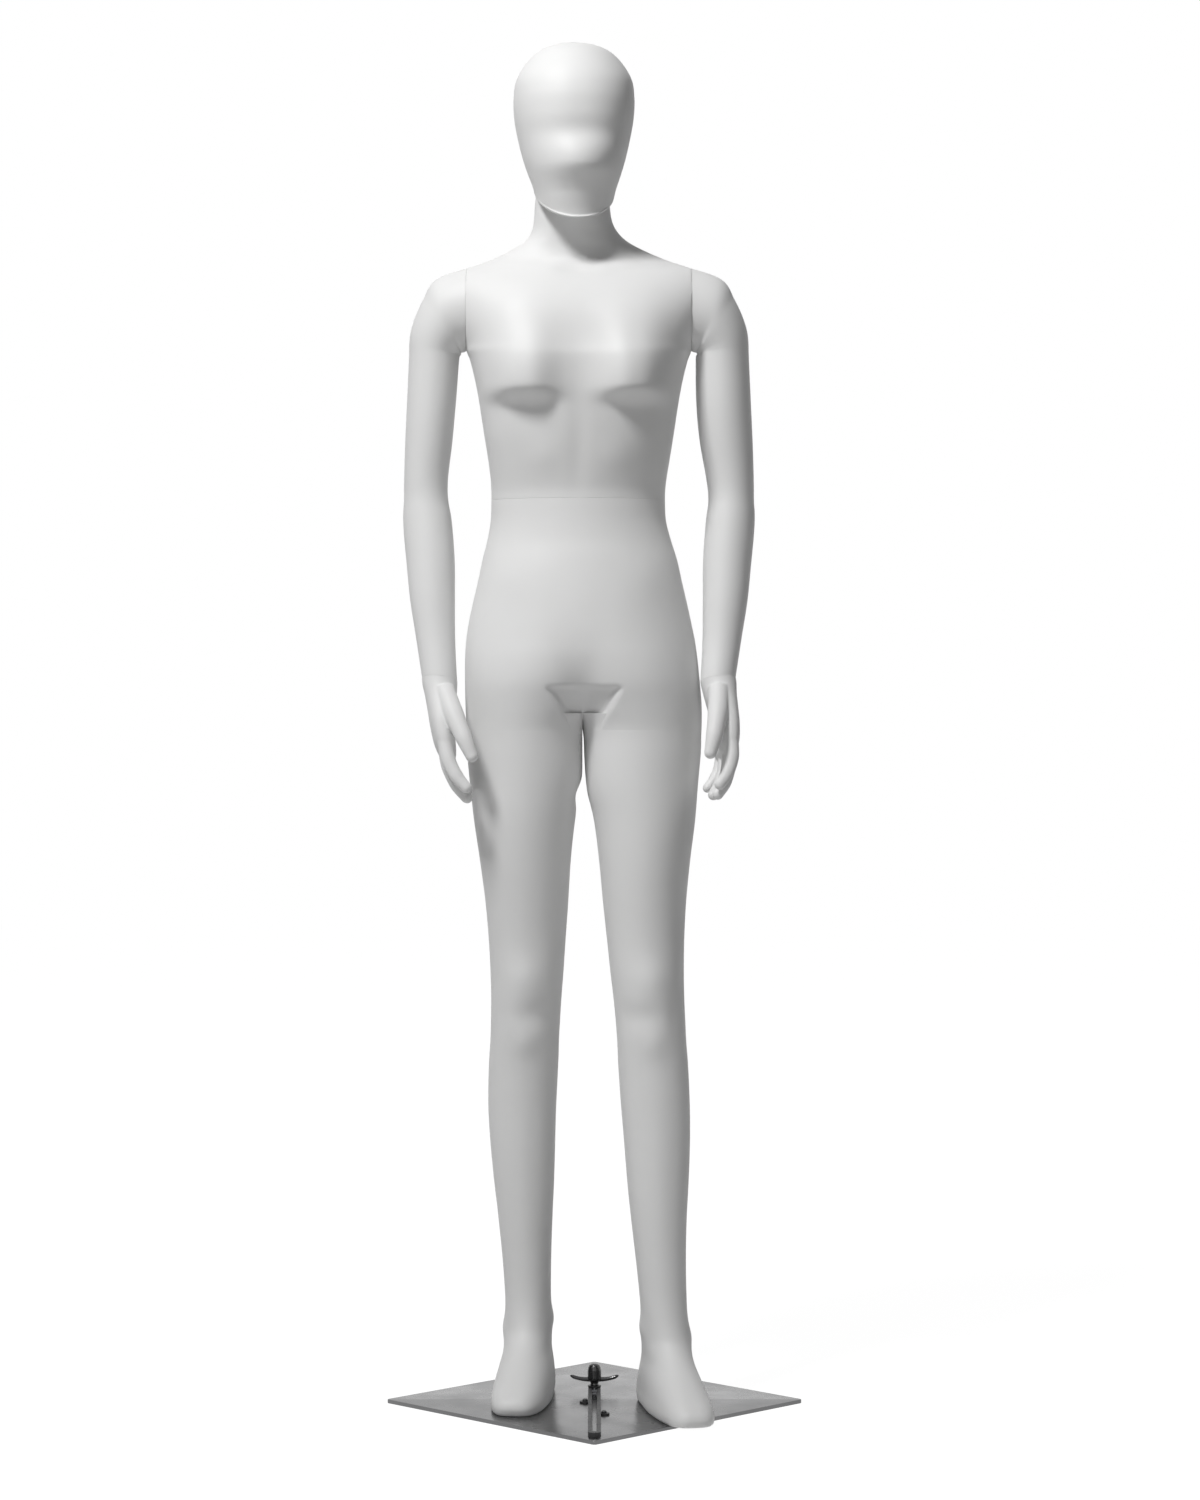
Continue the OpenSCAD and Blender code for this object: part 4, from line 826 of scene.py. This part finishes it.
floor_mesh = bpy.data.meshes.new("floor")
corners = [(-1, -1), (1, -1), (1, 1), (-1, 1)]
floor_mesh.from_pydata([(x * FLOOR_HALF, y * FLOOR_HALF, 0) for x, y in corners], [], [(0, 1, 2, 3)])
floor = bpy.data.objects.new("floor", floor_mesh)
scene.collection.objects.link(floor)
floor_material, n, l, shader = node_material("pale_floor", (0.86, 0.86, 0.86), 0.8)
seen = n.new("ShaderNodeLightPath")
glow = n.new("ShaderNodeEmission")
glow.inputs["Color"].default_value = (1, 1, 1, 1)
glow.inputs["Strength"].default_value = FLOOR_GLOW
mix = n.new("ShaderNodeMixShader")
share = n.new("ShaderNodeMath")
share.operation = "MULTIPLY"
share.inputs[1].default_value = FLOOR_GLOW_SHARE
l.new(brighter_of(n, l, seen.outputs["Is Camera Ray"], seen.outputs["Is Glossy Ray"]), share.inputs[0])
l.new(share.outputs[0], mix.inputs["Fac"])
l.new(shader.outputs["BSDF"], mix.inputs[1])
l.new(glow.outputs["Emission"], mix.inputs[2])
l.new(mix.outputs["Shader"], n["Material Output"].inputs["Surface"])
floor_mesh.materials.append(floor_material)

world = bpy.data.worlds.new("studio")
scene.world = world
world.use_nodes = True
tree = world.node_tree
surround = tree.nodes["Background"]
surround.inputs["Color"].default_value = (1, 1, 1, 1)
path = tree.nodes.new("ShaderNodeLightPath")
level = tree.nodes.new("ShaderNodeMapRange")
level.inputs["To Min"].default_value = SURROUND_LIGHT
level.inputs["To Max"].default_value = SURROUND_SEEN
tree.links.new(brighter_of(tree.nodes, tree.links, path.outputs["Is Camera Ray"],
                           path.outputs["Is Glossy Ray"]), level.inputs["Value"])
tree.links.new(level.outputs["Result"], surround.inputs["Strength"])


def lamp(name, place, aim, size, power):
    """Soft square lamp at a place, pointed at aim."""
    light = bpy.data.lights.new(name, "AREA")
    light.size = size
    light.energy = power
    thing = bpy.data.objects.new(name, light)
    thing.location = place
    from_to = np.array(aim, float) - np.array(place, float)
    thing.rotation_euler = (math.atan2(math.hypot(from_to[0], from_to[1]), -from_to[2]), 0,
                            math.atan2(from_to[0], -from_to[1]) + math.pi)
    scene.collection.objects.link(thing)


lamp("key", place=(-1.3, -1.9, 4.0), aim=(0, 0, 1.1), size=0.7, power=112)
lamp("fill", place=(-1.4, -4.2, 0.7), aim=(0, 0, 0.4), size=1.5, power=4)
